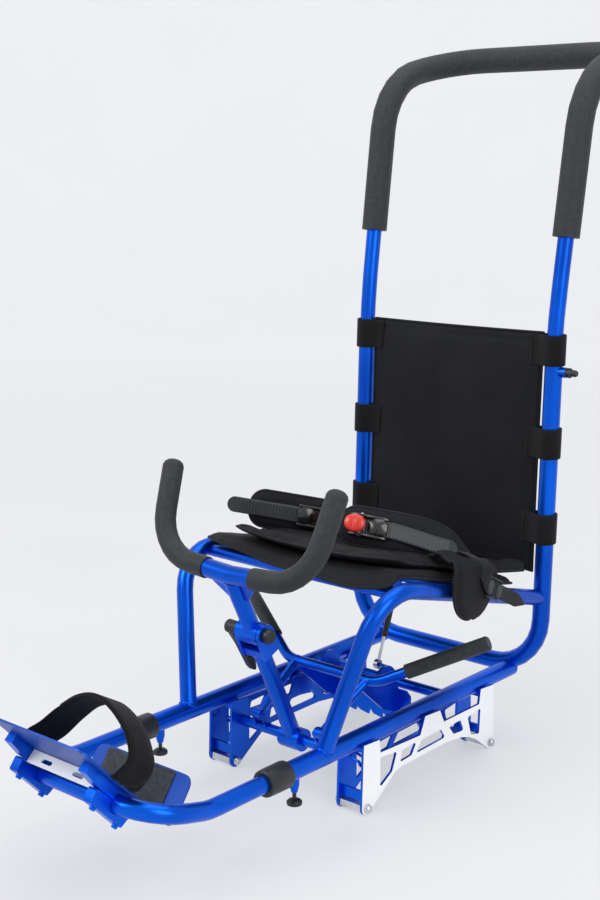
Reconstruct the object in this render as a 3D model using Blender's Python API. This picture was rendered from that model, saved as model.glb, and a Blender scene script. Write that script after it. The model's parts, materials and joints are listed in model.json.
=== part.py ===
"""Adaptive sled: a tube frame seat that stands on two ski-binding brackets.

All sizes are metres. Forward is -Y, the rider's left and right are -X and +X, and the
ground is z = 0. Positions below are measured from the middle of the ski brackets; at the
end everything moves by SHIFT_Y so that the bottom centre of the whole sled is the origin.
"""
import math

import bmesh
import bpy
from mathutils import Matrix, Vector

# Clearances and the shift to the library frame
GAP = 0.0003                 # seat gap between pieces that touch
SLIDE_GAP = 0.0004           # radial play of a telescoping tube
SHIFT_Y = 0.0634            # design frame to library frame

# Main tubes
FRAME_TUBE = 0.028           # rails and back posts
TELESCOPE_TUBE = 0.025       # front tube, push handle, seat sides, column
SMALL_TUBE = 0.016           # lower cross tubes and brake bar
SEAT_CROSS_TUBE = 0.019
RAIL_X = 0.130
RAIL_Z = 0.107
RAIL_FRONT_Y = -0.330
RAIL_BORE_END_Y = -0.110
POST_X = 0.182
POST_BOTTOM_Z = 0.112
POST_TOP_Z = 0.632
POST_LEAN = 0.031            # metres back per metre up
POST_BASE_Y = 0.240
HOOP_BEND = 0.085

# Ski brackets: two pairs of plates that straddle a rail
PLATE = 0.004
OUTER_FACE_X = 0.1505
INNER_FACE_X = 0.1035
BRACKET_HALF = 0.164         # half length along the sled
BAR_Y = 0.157
BAR_Z = 0.0103
FOOT_TIP = 0.0103
SADDLE_Y = (-0.146, 0.0, 0.146)
CROSS_TUBE_Y = -0.140
CROSS_TUBE_Z = 0.071
REAR_CROSS_Y = 0.066
REAR_CROSS_Z = 0.108

# Seat frame
SEAT_BASE_Y = -0.230
SEAT_CORNER = (0.189, -0.177, 0.345)
SEAT_REAR_Z = 0.232
SEAT_BEND = 0.070
SEAT_SLOPE = (SEAT_REAR_Z - SEAT_CORNER[2]) / (0.249 - SEAT_CORNER[1])
SEAT_FRONT_CROSS = (-0.125, 0.323)
SEAT_MID_CROSS_Y = 0.068

# Push handle
HANDLE_KNEE = (0.271, 0.719)
HANDLE_TOP = (0.313, 1.036)    # where the legs bend back
HANDLE_BAR = (0.4736, 1.0761)  # the cross bar behind them
HANDLE_TOP_X = 0.187
HANDLE_KNEE_BEND = 0.114
HANDLE_BEND = 0.085
HANDLE_FOAM = 0.042
HANDLE_REACH = 0.42          # lower end of the legs inside the posts
LOCK_Z = 0.5915

# Handlebar
HINGE = (-0.226, 0.255)      # y, z of the tilt hinge
COLUMN_FOOT = (-0.140, 0.071)
BAR_CENTRE = (-0.274, 0.350)
BAR_CORNER = (0.140, -0.274, 0.358)
BAR_TIP = (0.153, -0.231, 0.472)
BAR_TUBE = 0.024
HANDLEBAR_BEND = 0.074
GRIP = 0.031
GRIP_START_X = 0.044

# Front tube and footrest
FRONT_KNEE_Y = -0.454
FRONT_CORNER = (0.136, -0.558, 0.136)
FRONT_BEND = 0.058
FRONT_INSIDE_Y = -0.200      # how far the legs reach into the rails
HEEL_LINE = (-0.478, 0.078)  # y, z of the fold between sole and heel plates
SOLE_ANGLE = math.radians(46.4)
SOLE_LENGTH = 0.206
HEEL_ANGLE = math.radians(55.0)
HEEL_LENGTH = 0.069
FOOTREST_WIDTH = 0.178
SHEET = 0.003
CLAMP_X = FOOTREST_WIDTH / 2 - 0.0187
CLAMP_WIDTH = 0.015

# Brake lever
BRAKE_PIVOT = (-0.150, 0.096)
BRAKE_BAR = (-0.055, 0.153)
BRAKE_CORNER_X = 0.086
BRAKE_TIP = (0.236, 0.011, 0.230)
BRAKE_GRIP_START = (0.129, -0.040, 0.177)
BRAKE_BEND = 0.050
BRAKE_GRIP = 0.022
BRAKE_ARM_X = 0.060
BRAKE_HUB = 0.015
CHEEK_X = 0.056
CHEEK_CENTRE = (0.006, 0.127)
CHEEK_RADIUS = 0.028
STRUT_TOP = (0.062, 0.252)
STRUT_EYE = (0.022, 0.148)
STRUT_X = 0.030
STRUT_PLAY = 0.0019          # play of the open pivot at the rod's eye

# Cushions
SEAT_HALF_WIDTH = SEAT_CORNER[0] - 0.003
BASE_PAD = 0.012
CUSHION = 0.014
BACK_HALF_WIDTH = POST_X - 0.019
BACK_BOTTOM_Z = 0.276
BACK_TOP_Z = 0.650
STRAP_TOPS = (0.6485, 0.504, 0.369)
STRAP_TALL = 0.048
RATCHET_PIN = {1: -0.030, -1: 0.040}   # along the strap, right and left belts
RATCHET_PIN_OUT = 0.0160
LEVER_HEEL = 0.0046            # round heel of a red lever about its pin
RATCHET_ENDS = {1: (-0.046, 0.004), -1: (0.008, 0.056)}
STRAP_ENDS = {1: (-0.030, 0.112), -1: (-0.088, 0.040)}

# Colours
BLUE = (0.010, 0.060, 0.560)
WHITE = (0.90, 0.91, 0.92)
FOAM = (0.040, 0.041, 0.043)
NYLON = (0.013, 0.013, 0.016)
BLACK = (0.015, 0.015, 0.017)
STEEL = (0.55, 0.56, 0.58)
RED = (0.80, 0.060, 0.030)
PAD_GREY = (0.055, 0.058, 0.062)


# Scene and materials

def clear_scene():
    for item in list(bpy.data.objects):
        bpy.data.objects.remove(item, do_unlink=True)


def paint(name, colour, roughness, metallic=0.0):
    surface = bpy.data.materials.new(name)
    surface.use_nodes = True
    shader = surface.node_tree.nodes["Principled BSDF"]
    shader.inputs["Base Color"].default_value = (*colour, 1.0)
    shader.inputs["Roughness"].default_value = roughness
    shader.inputs["Metallic"].default_value = metallic
    surface.diffuse_color = (*colour, 1.0)
    return surface


# Geometry helpers

def rounded_path(corners, radii, steps=6, closed=False):
    """Points of a line whose inner corners are rounded by arcs of some steps each."""
    corners = [Vector(point) for point in corners]
    count = len(corners)
    if not hasattr(radii, "__len__"):
        radii = [radii] * (count if closed else count - 2)
    if not hasattr(steps, "__len__"):
        steps = [steps] * len(radii)
    points = [] if closed else [corners[0]]
    first = 0 if closed else 1
    last = count if closed else count - 1
    for index in range(first, last):
        radius = radii[index - first]
        bend_steps = steps[index - first]
        here = corners[index]
        back = (corners[index - 1] - here).normalized()
        ahead = (corners[(index + 1) % count] - here).normalized()
        half = back.angle(ahead) / 2
        if radius < 1e-6 or half > math.radians(89.5):
            points.append(here)
            continue
        reach = radius / math.tan(half)
        centre = here + (back + ahead).normalized() * (radius / math.sin(half))
        start = (here + back * reach - centre).normalized()
        end = (here + ahead * reach - centre).normalized()
        for step in range(bend_steps + 1):
            points.append(centre + start.slerp(end, step / bend_steps) * radius)
    if not closed:
        points.append(corners[-1])
    return points


def sweep_rings(mesh, points, radius, sides):
    """One ring of vertices square to the path at each of its points."""
    tangent = (points[1] - points[0]).normalized()
    side = tangent.orthogonal().normalized()
    rings = []
    for index, point in enumerate(points):
        before = points[max(index - 1, 0)]
        after = points[min(index + 1, len(points) - 1)]
        new_tangent = (after - before).normalized()
        side.rotate(tangent.rotation_difference(new_tangent))
        tangent = new_tangent
        other = tangent.cross(side).normalized()
        ring = []
        for number in range(sides):
            turn = 2 * math.pi * number / sides
            offset = side * math.cos(turn) + other * math.sin(turn)
            ring.append(mesh.verts.new(point + offset * radius))
        rings.append(ring)
    return rings


def bridge(mesh, ring, other):
    count = len(ring)
    for number in range(count):
        after = (number + 1) % count
        mesh.faces.new((ring[number], ring[after], other[after], other[number]))


def tube(mesh, points, diameter, sides=16, bore=0.0):
    """A bent round bar, or a pipe when it has a bore."""
    outer = sweep_rings(mesh, points, diameter / 2, sides)
    for ring, other in zip(outer, outer[1:]):
        bridge(mesh, ring, other)
    if bore == 0.0:
        mesh.faces.new(outer[0])
        mesh.faces.new(outer[-1])
        return
    inner = sweep_rings(mesh, points, bore / 2, sides)
    for ring, other in zip(inner, inner[1:]):
        bridge(mesh, ring, other)
    bridge(mesh, outer[0], inner[0])
    bridge(mesh, outer[-1], inner[-1])


def rod(mesh, start, end, diameter, sides=16, bore=0.0):
    tube(mesh, [Vector(start), Vector(end)], diameter, sides, bore)


def turned(mesh, origin, axis, profile, sides=16):
    """A solid of revolution; profile is (radius, distance along the axis)."""
    axis = Vector(axis).normalized()
    side = axis.orthogonal().normalized()
    other = axis.cross(side)
    rings = []
    for radius, along in profile:
        centre = Vector(origin) + axis * along
        ring = []
        for number in range(sides):
            turn = 2 * math.pi * number / sides
            offset = side * math.cos(turn) + other * math.sin(turn)
            ring.append(mesh.verts.new(centre + offset * radius))
        rings.append(ring)
    for ring, following in zip(rings, rings[1:]):
        bridge(mesh, ring, following)
    mesh.faces.new(rings[0])
    mesh.faces.new(rings[-1])


def placed(origin, along_a, along_b):
    """Matrix that carries a flat outline's a and b axes into space."""
    a = Vector(along_a).normalized()
    b = Vector(along_b).normalized()
    c = a.cross(b).normalized()
    matrix = Matrix((a, b, c)).transposed().to_4x4()
    matrix.translation = Vector(origin)
    return matrix


def prism(mesh, outline, place, thickness):
    """A flat outline made solid, half its thickness on either side."""
    rings = []
    for height in (-thickness / 2, thickness / 2):
        rings.append([mesh.verts.new(place @ Vector((a, b, height))) for a, b in outline])
    bridge(mesh, rings[0], rings[1])
    mesh.faces.new(rings[0])
    mesh.faces.new(rings[1])


def flat(points):
    return [(point[0], point[1]) for point in points]


def soft_outline(points, radius, steps=3):
    """Flat outline with all its corners rounded."""
    lifted = [(a, b, 0.0) for a, b in points]
    return flat(rounded_path(lifted, radius, steps, closed=True))


def circle(centre, radius, count=16):
    turns = [2 * math.pi * number / count for number in range(count)]
    return [(centre[0] + radius * math.cos(t), centre[1] + radius * math.sin(t)) for t in turns]


def box(mesh, low, high):
    low = Vector(low)
    high = Vector(high)
    middle = (low + high) / 2
    scale = Matrix.Diagonal((*(high - low), 1.0))
    bmesh.ops.create_cube(mesh, size=1.0, matrix=Matrix.Translation(middle) @ scale)


def side_plane(x):
    """Outlines given as (y, z) on a plane square to X."""
    return placed((x, 0, 0), (0, 1, 0), (0, 0, 1))


def solid_faces(start):
    """All faces of the separate solid that holds the given face."""
    found = {start}
    waiting = [start]
    while waiting:
        face = waiting.pop()
        for edge in face.edges:
            for neighbour in edge.link_faces:
                if neighbour not in found:
                    found.add(neighbour)
                    waiting.append(neighbour)
    return found


def signed_volume(faces):
    total = 0.0
    for face in faces:
        corners = [vertex.co for vertex in face.verts]
        for second, third in zip(corners[1:], corners[2:]):
            total += corners[0].dot(second.cross(third))
    return total


def turn_faces_out(mesh):
    """Give every separate solid in the mesh outward faces."""
    bmesh.ops.recalc_face_normals(mesh, faces=mesh.faces)
    remaining = set(mesh.faces)
    while remaining:
        faces = solid_faces(next(iter(remaining)))
        remaining -= faces
        if signed_volume(faces) < 0:
            bmesh.ops.reverse_faces(mesh, faces=list(faces))


def make(name, build, surface, origin=(0, 0, 0), sharp=40):
    """Run a mesh builder and turn the result into a named object."""
    mesh = bmesh.new()
    build(mesh)
    bmesh.ops.translate(mesh, verts=mesh.verts, vec=-Vector(origin))
    turn_faces_out(mesh)
    data = bpy.data.meshes.new(name)
    mesh.to_mesh(data)
    mesh.free()
    item = bpy.data.objects.new(name, data)
    item.location = Vector(origin)
    item.data.materials.append(surface)
    bpy.context.collection.objects.link(item)
    data.shade_smooth()
    data.set_sharp_from_angle(angle=math.radians(sharp))
    return item


def combine(item, build, operation, solver="EXACT"):
    """Boolean of an object with a helper shape that is then thrown away."""
    mesh = bmesh.new()
    build(mesh)
    turn_faces_out(mesh)
    data = bpy.data.meshes.new(item.name + "_helper")
    mesh.to_mesh(data)
    mesh.free()
    helper = bpy.data.objects.new(item.name + "_helper", data)
    bpy.context.collection.objects.link(helper)
    helper.hide_render = True
    helper.display_type = "WIRE"
    step = item.modifiers.new("combine", "BOOLEAN")
    step.operation = operation
    step.solver = solver
    step.object = helper
    bpy.context.view_layer.update()
    graph = bpy.context.evaluated_depsgraph_get()
    result = bpy.data.meshes.new_from_object(item.evaluated_get(graph))
    item.modifiers.clear()
    item.data = result
    bpy.data.objects.remove(helper, do_unlink=True)
    result.shade_smooth()
    result.set_sharp_from_angle(angle=math.radians(40))


def cut(item, build, solver="EXACT"):
    combine(item, build, "DIFFERENCE", solver)


def weld(item, build, solver="EXACT"):
    combine(item, build, "UNION", solver)


def cutter_tube(points, diameter, sides=16):
    """Shape that leaves the seat gap round a tube when it is cut away."""
    return lambda mesh: tube(mesh, points, diameter + 2 * GAP, sides)


def mirror_points(points):
    return [Vector((-point[0], point[1], point[2])) for point in points]


# Paths that several pieces share

def post_y(z):
    return POST_BASE_Y + POST_LEAN * z


def hoop_path():
    top = Vector((POST_X, post_y(POST_TOP_Z), POST_TOP_Z))
    low = Vector((POST_X, post_y(POST_BOTTOM_Z), POST_BOTTOM_Z))
    corners = [top, low, *mirror_points([low, top])]
    return rounded_path(corners, HOOP_BEND, 7)


def seat_path():
    base = (RAIL_X, SEAT_BASE_Y, RAIL_Z)
    rear = (POST_X - 0.002, post_y(SEAT_REAR_Z), SEAT_REAR_Z)
    return rounded_path([base, SEAT_CORNER, rear], SEAT_BEND, 7)


def handle_path():
    knee_y, knee_z = HANDLE_KNEE
    foot = Vector((POST_X, post_y(HANDLE_REACH), HANDLE_REACH))
    mouth = Vector((POST_X, post_y(POST_TOP_Z + 0.03), POST_TOP_Z + 0.03))
    knee = Vector((POST_X + 0.001, knee_y - 0.004, knee_z))
    top = Vector((HANDLE_TOP_X, *HANDLE_TOP))
    corner = Vector((HANDLE_TOP_X, *HANDLE_BAR))
    right = rounded_path([foot, mouth, knee, top, corner, (0, *HANDLE_BAR)],
                         [0.3, 0.25, HANDLE_KNEE_BEND, HANDLE_BEND], [1, 2, 5, 6])
    return right[:-1] + mirror_points(right[:-1])[::-1]


def front_path():
    inside = Vector((RAIL_X, FRONT_INSIDE_Y, RAIL_Z))
    knee = Vector((RAIL_X, FRONT_KNEE_Y, RAIL_Z))
    corner = Vector(FRONT_CORNER)
    middle = (0, FRONT_CORNER[1], FRONT_CORNER[2])
    right = rounded_path([inside, knee, corner, middle], [0.10, FRONT_BEND], [3, 6])
    return right[:-1] + mirror_points(right[:-1])[::-1]


def handlebar_path():
    tip = Vector(BAR_TIP)
    corner = Vector(BAR_CORNER)
    right = rounded_path([(0, *BAR_CENTRE), corner, tip], HANDLEBAR_BEND, 7)
    return mirror_points(right[1:])[::-1] + right


def brake_path():
    tip = Vector(BRAKE_TIP)
    corner = Vector((BRAKE_CORNER_X, *BRAKE_BAR))
    right = rounded_path([(0, *BRAKE_BAR), corner, tip], BRAKE_BEND, 4)
    return mirror_points(right[1:])[::-1] + right


# Main frame

def build_rails(surface):
    """Rails with the welded bosses of the levelling feet."""
    boss = [(0.0068, 0.0), (0.0068, 0.016), (0.0045, 0.026)]
    bore = TELESCOPE_TUBE + 2 * SLIDE_GAP
    for side, name in ((1, "rail_tube_right"), (-1, "rail_tube_left")):
        x = side * RAIL_X
        rear_y = post_y(POST_BOTTOM_Z)
        rail = make(name, lambda mesh: rod(mesh, (x, RAIL_FRONT_Y, RAIL_Z), (x, rear_y, RAIL_Z), FRAME_TUBE, 16),
                    surface)
        weld(rail, lambda mesh: turned(mesh, (x, FOOT_Y, RAIL_Z - 0.006), (0, 0, -1), boss, 18))
        cut(rail, cutter_tube(hoop_path(), FRAME_TUBE))
        cut(rail, lambda mesh: rod(mesh, (x, RAIL_FRONT_Y - 0.01, RAIL_Z), (x, RAIL_BORE_END_Y, RAIL_Z), bore, 16))
        cut(rail, lambda mesh: rod(mesh, (x, FOOT_Y, 0.0940), (x, FOOT_Y, 0.06), 0.0062, 10))


def build_rear_hoop(surface):
    """Posts and rear cross in one tube, with the lock knob's boss on the right post."""
    hoop = make("rear_hoop_tube", lambda mesh: tube(mesh, hoop_path(), FRAME_TUBE, 16), surface)
    lock_y = post_y(LOCK_Z)
    reach = FRAME_TUBE / 2 + 0.008
    weld(hoop, lambda mesh: turned(mesh, (POST_X, lock_y, LOCK_Z), (1, 0, 0),
                                   [(0.0080, 0.0), (0.0080, reach), (0.0070, reach + 0.001)], 18))
    bore = TELESCOPE_TUBE + 2 * SLIDE_GAP
    top_z = POST_TOP_Z + 0.01
    low_z = HANDLE_REACH - 0.03

    def bores(mesh):
        for x in (POST_X, -POST_X):
            rod(mesh, (x, post_y(low_z), low_z), (x, post_y(top_z), top_z), bore, 16)
    cut(hoop, bores)
    cut(hoop, lambda mesh: rod(mesh, (POST_X, lock_y, LOCK_Z), (POST_X + 0.05, lock_y, LOCK_Z), 0.0064, 16))


def build_seat_frame(surface):
    for side, name in ((1, "seat_side_tube_right"), (-1, "seat_side_tube_left")):
        path = seat_path() if side == 1 else mirror_points(seat_path())
        piece = make(name, lambda mesh: tube(mesh, path, TELESCOPE_TUBE, 16), surface)
        cut(piece, cutter_tube(hoop_path(), FRAME_TUBE))
        ends = [Vector((side * RAIL_X, -0.34, RAIL_Z)), Vector((side * RAIL_X, 0.2, RAIL_Z))]
        cut(piece, cutter_tube(ends, FRAME_TUBE))
    right = seat_path()
    left = mirror_points(right)
    y, z = SEAT_FRONT_CROSS
    front = make("seat_front_cross_tube",
                 lambda mesh: rod(mesh, (-0.187, y, z), (0.187, y, z), SEAT_CROSS_TUBE, 14), surface)

    mid_y = SEAT_MID_CROSS_Y
    mid_z = side_tube_z(mid_y)
    top_y, top_z = STRUT_TOP
    middle = make("seat_middle_cross_tube",
                  lambda mesh: rod(mesh, (-0.184, mid_y, mid_z), (0.184, mid_y, mid_z), SMALL_TUBE, 14), surface)
    outline = [(mid_y - 0.007, mid_z), (top_y - 0.0070, top_z), (top_y - 0.0045, top_z - 0.0068),
               (top_y + 0.0045, top_z - 0.0068), (top_y + 0.0070, top_z), (mid_y + 0.007, mid_z)]

    def lugs(mesh):
        for offset in (-0.0060, 0.0060):
            prism(mesh, outline, side_plane(STRUT_X + offset), 0.003)
    weld(middle, lugs)
    weld(middle, lambda mesh: rod(mesh, (STRUT_X - 0.0085, top_y, top_z), (STRUT_X + 0.0085, top_y, top_z), 0.0050, 10))
    for piece in (front, middle):
        cut(piece, cutter_tube(right, TELESCOPE_TUBE))
        cut(piece, cutter_tube(left, TELESCOPE_TUBE))


def build_lower_cross_tubes(surface):
    """Front tube with the brake's lugs and pins, and the plain rear tube."""
    reach = INNER_FACE_X - GAP
    y, z = CROSS_TUBE_Y, CROSS_TUBE_Z
    pivot_y, pivot_z = BRAKE_PIVOT
    front = make("front_lower_cross_tube",
                 lambda mesh: rod(mesh, (-reach, y, z), (reach, y, z), SMALL_TUBE, 14), surface)
    outline = [(y - 0.006, z + 0.002), (y + 0.006, z + 0.002), (pivot_y + 0.0085, pivot_z + 0.002),
               (pivot_y, pivot_z + 0.0075), (pivot_y - 0.0085, pivot_z)]

    def lugs(mesh):
        for side in (1, -1):
            for offset in (-1, 1):
                x = side * BRAKE_ARM_X + offset * (BRAKE_HUB / 2 + GAP + 0.0015)
                prism(mesh, soft_outline(outline, 0.002, 1), side_plane(x), 0.003)
    weld(front, lugs)

    def pins(mesh):
        for side in (1, -1):
            middle = side * BRAKE_ARM_X
            rod(mesh, (middle - 0.0115, pivot_y, pivot_z), (middle + 0.0115, pivot_y, pivot_z), 0.0056, 10)
    weld(front, pins)

    rear_y, rear_z = REAR_CROSS_Y, REAR_CROSS_Z
    rear = make("rear_lower_cross_tube",
                lambda mesh: rod(mesh, (-RAIL_X, rear_y, rear_z), (RAIL_X, rear_y, rear_z), SMALL_TUBE, 16),
                surface)
    for side in (1, -1):
        ends = [Vector((side * RAIL_X, 0.0, RAIL_Z)), Vector((side * RAIL_X, 0.2, RAIL_Z))]
        cut(rear, cutter_tube(ends, FRAME_TUBE))


# Ski brackets

def bracket_outline():
    """Side view of a bracket plate: three top lands, feet and an arched underside."""
    half = BRACKET_HALF
    tip = FOOT_TIP
    corner = BAR_Y
    front_tip = [(-corner - tip * math.sin(math.radians(a)), BAR_Z - tip * math.cos(math.radians(a)))
                 for a in (90, 60, 30, 0, -30)]
    rear_tip = [(-y, z) for y, z in reversed(front_tip)]
    arch = [(-0.090, 0.043), (-0.075, 0.0465), (0.040, 0.0475), (0.078, 0.043), (0.098, 0.037),
            (0.116, 0.028)]
    rear_land = [(half, 0.104), (0.128, 0.106), (0.124, 0.083), (0.030, 0.083)]
    middle_land = [(0.019, 0.104), (-0.018, 0.106), (-0.030, 0.080), (-0.126, 0.084)]
    front_land = [(-0.128, 0.104), (-half, 0.106)]
    return front_tip + arch + rear_tip + rear_land + middle_land + front_land


BRACKET_WINDOWS = (
    [(-0.126, 0.077), (-0.126, 0.031), (-0.098, 0.046), (-0.087, 0.073)],
    [(-0.079, 0.054), (-0.075, 0.071), (-0.039, 0.073), (-0.051, 0.056)],
    [(-0.041, 0.055), (-0.027, 0.072), (0.022, 0.073), (0.034, 0.057)],
    [(0.042, 0.072), (0.056, 0.055), (0.083, 0.053), (0.074, 0.072)],
    [(0.093, 0.071), (0.103, 0.040), (0.126, 0.034), (0.128, 0.075)],
)


def build_bracket_plate(name, face_x, side, surface):
    middle = face_x - math.copysign(PLATE / 2, face_x) if side == "outer" else \
        face_x + math.copysign(PLATE / 2, face_x)
    outline = bracket_outline()
    plate = make(name, lambda mesh: prism(mesh, outline, side_plane(middle), PLATE), surface)

    def windows(mesh):
        for window in BRACKET_WINDOWS:
            prism(mesh, soft_outline(window, 0.0022, 1), side_plane(middle), 0.02)
        for y in (-BAR_Y, BAR_Y):
            prism(mesh, circle((y, BAR_Z), 0.0032, 10), side_plane(middle), 0.02)
    cut(plate, windows)
    return plate


def build_brackets(blue, white, steel):
    """Each bracket: an outer plate, and an inner plate with welded saddles and cross strips."""
    for side, word in ((1, "right"), (-1, "left")):
        build_bracket_plate(f"bracket_outer_plate_{word}", side * OUTER_FACE_X, "outer", white)
        inner = build_bracket_plate(f"bracket_inner_plate_{word}", side * INNER_FACE_X, "inner", blue)
        low_x, high_x = sorted((side * (INNER_FACE_X + PLATE / 2), side * (OUTER_FACE_X - PLATE - GAP)))

        def strips(mesh):
            for y in (-0.1572, 0.1572):
                box(mesh, (low_x, y - 0.0017, 0.0190), (high_x, y + 0.0017, 0.0340))

        def saddles(mesh):
            for y in SADDLE_Y:
                box(mesh, (low_x, y - 0.0025, 0.086), (high_x, y + 0.0025, RAIL_Z - 0.002))
        weld(inner, strips)
        weld(inner, saddles)
        x = side * RAIL_X
        cut(inner, lambda mesh: rod(mesh, (x, -0.3, RAIL_Z), (x, 0.3, RAIL_Z), FRAME_TUBE + 2 * GAP, 24))
        build_binding_bars(side, word, steel)


def build_binding_bars(side, word, steel):
    """The two bars that the ski binding holds, each with its bolt and round heads."""
    low_x, high_x = sorted((side * (INNER_FACE_X + PLATE + GAP), side * (OUTER_FACE_X - PLATE - GAP)))
    head = [(0.0064, 0.0), (0.0064, 0.0035), (0.0050, 0.0060), (0.0022, 0.0072)]
    for y, place in ((-BAR_Y, "front"), (BAR_Y, "rear")):
        bar = make(f"binding_bar_{place}_{word}",
                   lambda mesh: box(mesh, (low_x, y - 0.008, BAR_Z - 0.0052), (high_x, y + 0.008, BAR_Z + 0.0052)),
                   steel)
        inside = side * (INNER_FACE_X - GAP)
        outside = side * (OUTER_FACE_X + GAP)
        weld(bar, lambda mesh: rod(mesh, (inside, y, BAR_Z), (outside, y, BAR_Z), 0.0056, 10))
        weld(bar, lambda mesh: turned(mesh, (outside, y, BAR_Z), (side, 0, 0), head, 12))
        weld(bar, lambda mesh: turned(mesh, (inside, y, BAR_Z), (-side, 0, 0), head, 12))


# Levelling feet under the rails

FOOT_Y = -0.289
FOOT_DISC_Z = 0.061


def build_levelling_feet(black):
    for side, word in ((1, "right"), (-1, "left")):
        x = side * RAIL_X
        profile = [(0.0085, -0.0045), (0.0105, -0.0035), (0.0108, 0.0005), (0.0085, 0.0028),
                   (0.0042, 0.0040), (0.0028, 0.0042), (0.0028, 0.0285)]
        make(f"levelling_foot_{word}",
             lambda mesh: turned(mesh, (x, FOOT_Y, FOOT_DISC_Z), (0, 0, 1), profile, 20), black,
             (x, FOOT_Y, FOOT_DISC_Z))


# Collars where the front tube leaves the rails

def build_collars(surface):
    front = RAIL_FRONT_Y - 0.022
    rear = RAIL_FRONT_Y + 0.023
    step_y = RAIL_FRONT_Y - GAP
    profile = [(0.0170, 0.0), (0.0185, 0.0015), (0.0190, 0.012), (0.0190, 0.0435), (0.0180, rear - front)]
    narrow = TELESCOPE_TUBE + 2 * SLIDE_GAP
    wide = FRAME_TUBE + 2 * GAP
    for side, word in ((1, "right"), (-1, "left")):
        x = side * RAIL_X
        collar = make(f"rail_collar_{word}",
                      lambda mesh: turned(mesh, (x, front, RAIL_Z), (0, 1, 0), profile, 18), surface)
        cut(collar, lambda mesh: rod(mesh, (x, front - 0.01, RAIL_Z), (x, rear + 0.01, RAIL_Z), narrow, 16))
        cut(collar, lambda mesh: rod(mesh, (x, step_y, RAIL_Z), (x, rear + 0.01, RAIL_Z), wide, 16))
        cut(collar, lambda mesh: box(mesh, (x - 0.001, front - 0.01, RAIL_Z - 0.03),
                                     (x + 0.001, front + 0.018, RAIL_Z)))


# Front tube and footrest

def build_front_tube(surface):
    make("front_u_tube", lambda mesh: tube(mesh, front_path(), TELESCOPE_TUBE, 16), surface,
         (0, FRONT_INSIDE_Y, RAIL_Z))


def sole_place(x=0.0):
    """Local a runs up the sole plate, b points out of its underside."""
    up = (0, -math.cos(SOLE_ANGLE), math.sin(SOLE_ANGLE))
    under = (0, -math.sin(SOLE_ANGLE), -math.cos(SOLE_ANGLE))
    return placed((x, *HEEL_LINE), up, under)


def sole_point(x, a, b):
    return sole_place() @ Vector((a, b, 0)) + Vector((x, 0, 0))


def build_foot_plate(surface):
    fold = Vector((0, *HEEL_LINE))
    toe = fold + Vector((0, -math.cos(SOLE_ANGLE), math.sin(SOLE_ANGLE))) * SOLE_LENGTH
    heel = fold + Vector((0, math.cos(HEEL_ANGLE), math.sin(HEEL_ANGLE))) * HEEL_LENGTH
    line = rounded_path([toe, fold, heel], 0.012, 6)
    profile = []
    for index, point in enumerate(line):
        before = line[max(index - 1, 0)]
        after = line[min(index + 1, len(line) - 1)]
        across = (after - before).normalized().cross(Vector((1, 0, 0)))
        profile.append((point, across * SHEET / 2))
    outline = [(p + n)[1:] for p, n in profile] + [(p - n)[1:] for p, n in reversed(profile)]
    plate = make("foot_plate",
                 lambda mesh: prism(mesh, outline, side_plane(0.0), FOOTREST_WIDTH), surface,
                 (0, *FRONT_CORNER[1:]))

    def trimmed_corners(mesh):
        half = FOOTREST_WIDTH / 2
        for sign in (1, -1):
            for base, along in ((toe, (fold - toe).normalized()), (heel, (fold - heel).normalized())):
                place = placed(base + Vector((sign * half, 0, 0)), (-sign, 0, 0), along)
                cut_radius = 0.014
                arc = [(cut_radius * (1 - math.cos(math.radians(t))), cut_radius * (1 - math.sin(math.radians(t))))
                       for t in (0, 22.5, 45, 67.5, 90)]
                outline_cut = arc + [(cut_radius, -0.006), (-0.006, -0.006), (-0.006, cut_radius)]
                prism(mesh, outline_cut, place, 0.02)
    cut(plate, trimmed_corners)


def build_grip_pad(surface):
    up = Vector((0, math.cos(HEEL_ANGLE), math.sin(HEEL_ANGLE)))
    facing = Vector((0, -math.sin(HEEL_ANGLE), math.cos(HEEL_ANGLE)))
    start = Vector((0, *HEEL_LINE)) + facing * (SHEET / 2 + GAP + 0.001)
    place = placed(start, (1, 0, 0), up)
    outline = soft_outline([(-0.066, 0.016), (0.060, 0.016), (0.060, 0.067), (-0.066, 0.067)], 0.003)
    make("heel_grip_pad", lambda mesh: prism(mesh, outline, place, 0.002), surface,
         (0, *FRONT_CORNER[1:]))


def tube_on_sole():
    """Where the front tube's centre lies in the sole plate's own a and b."""
    middle = sole_place().inverted() @ Vector((0, FRONT_CORNER[1], FRONT_CORNER[2]))
    return middle[0], middle[1]


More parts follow.
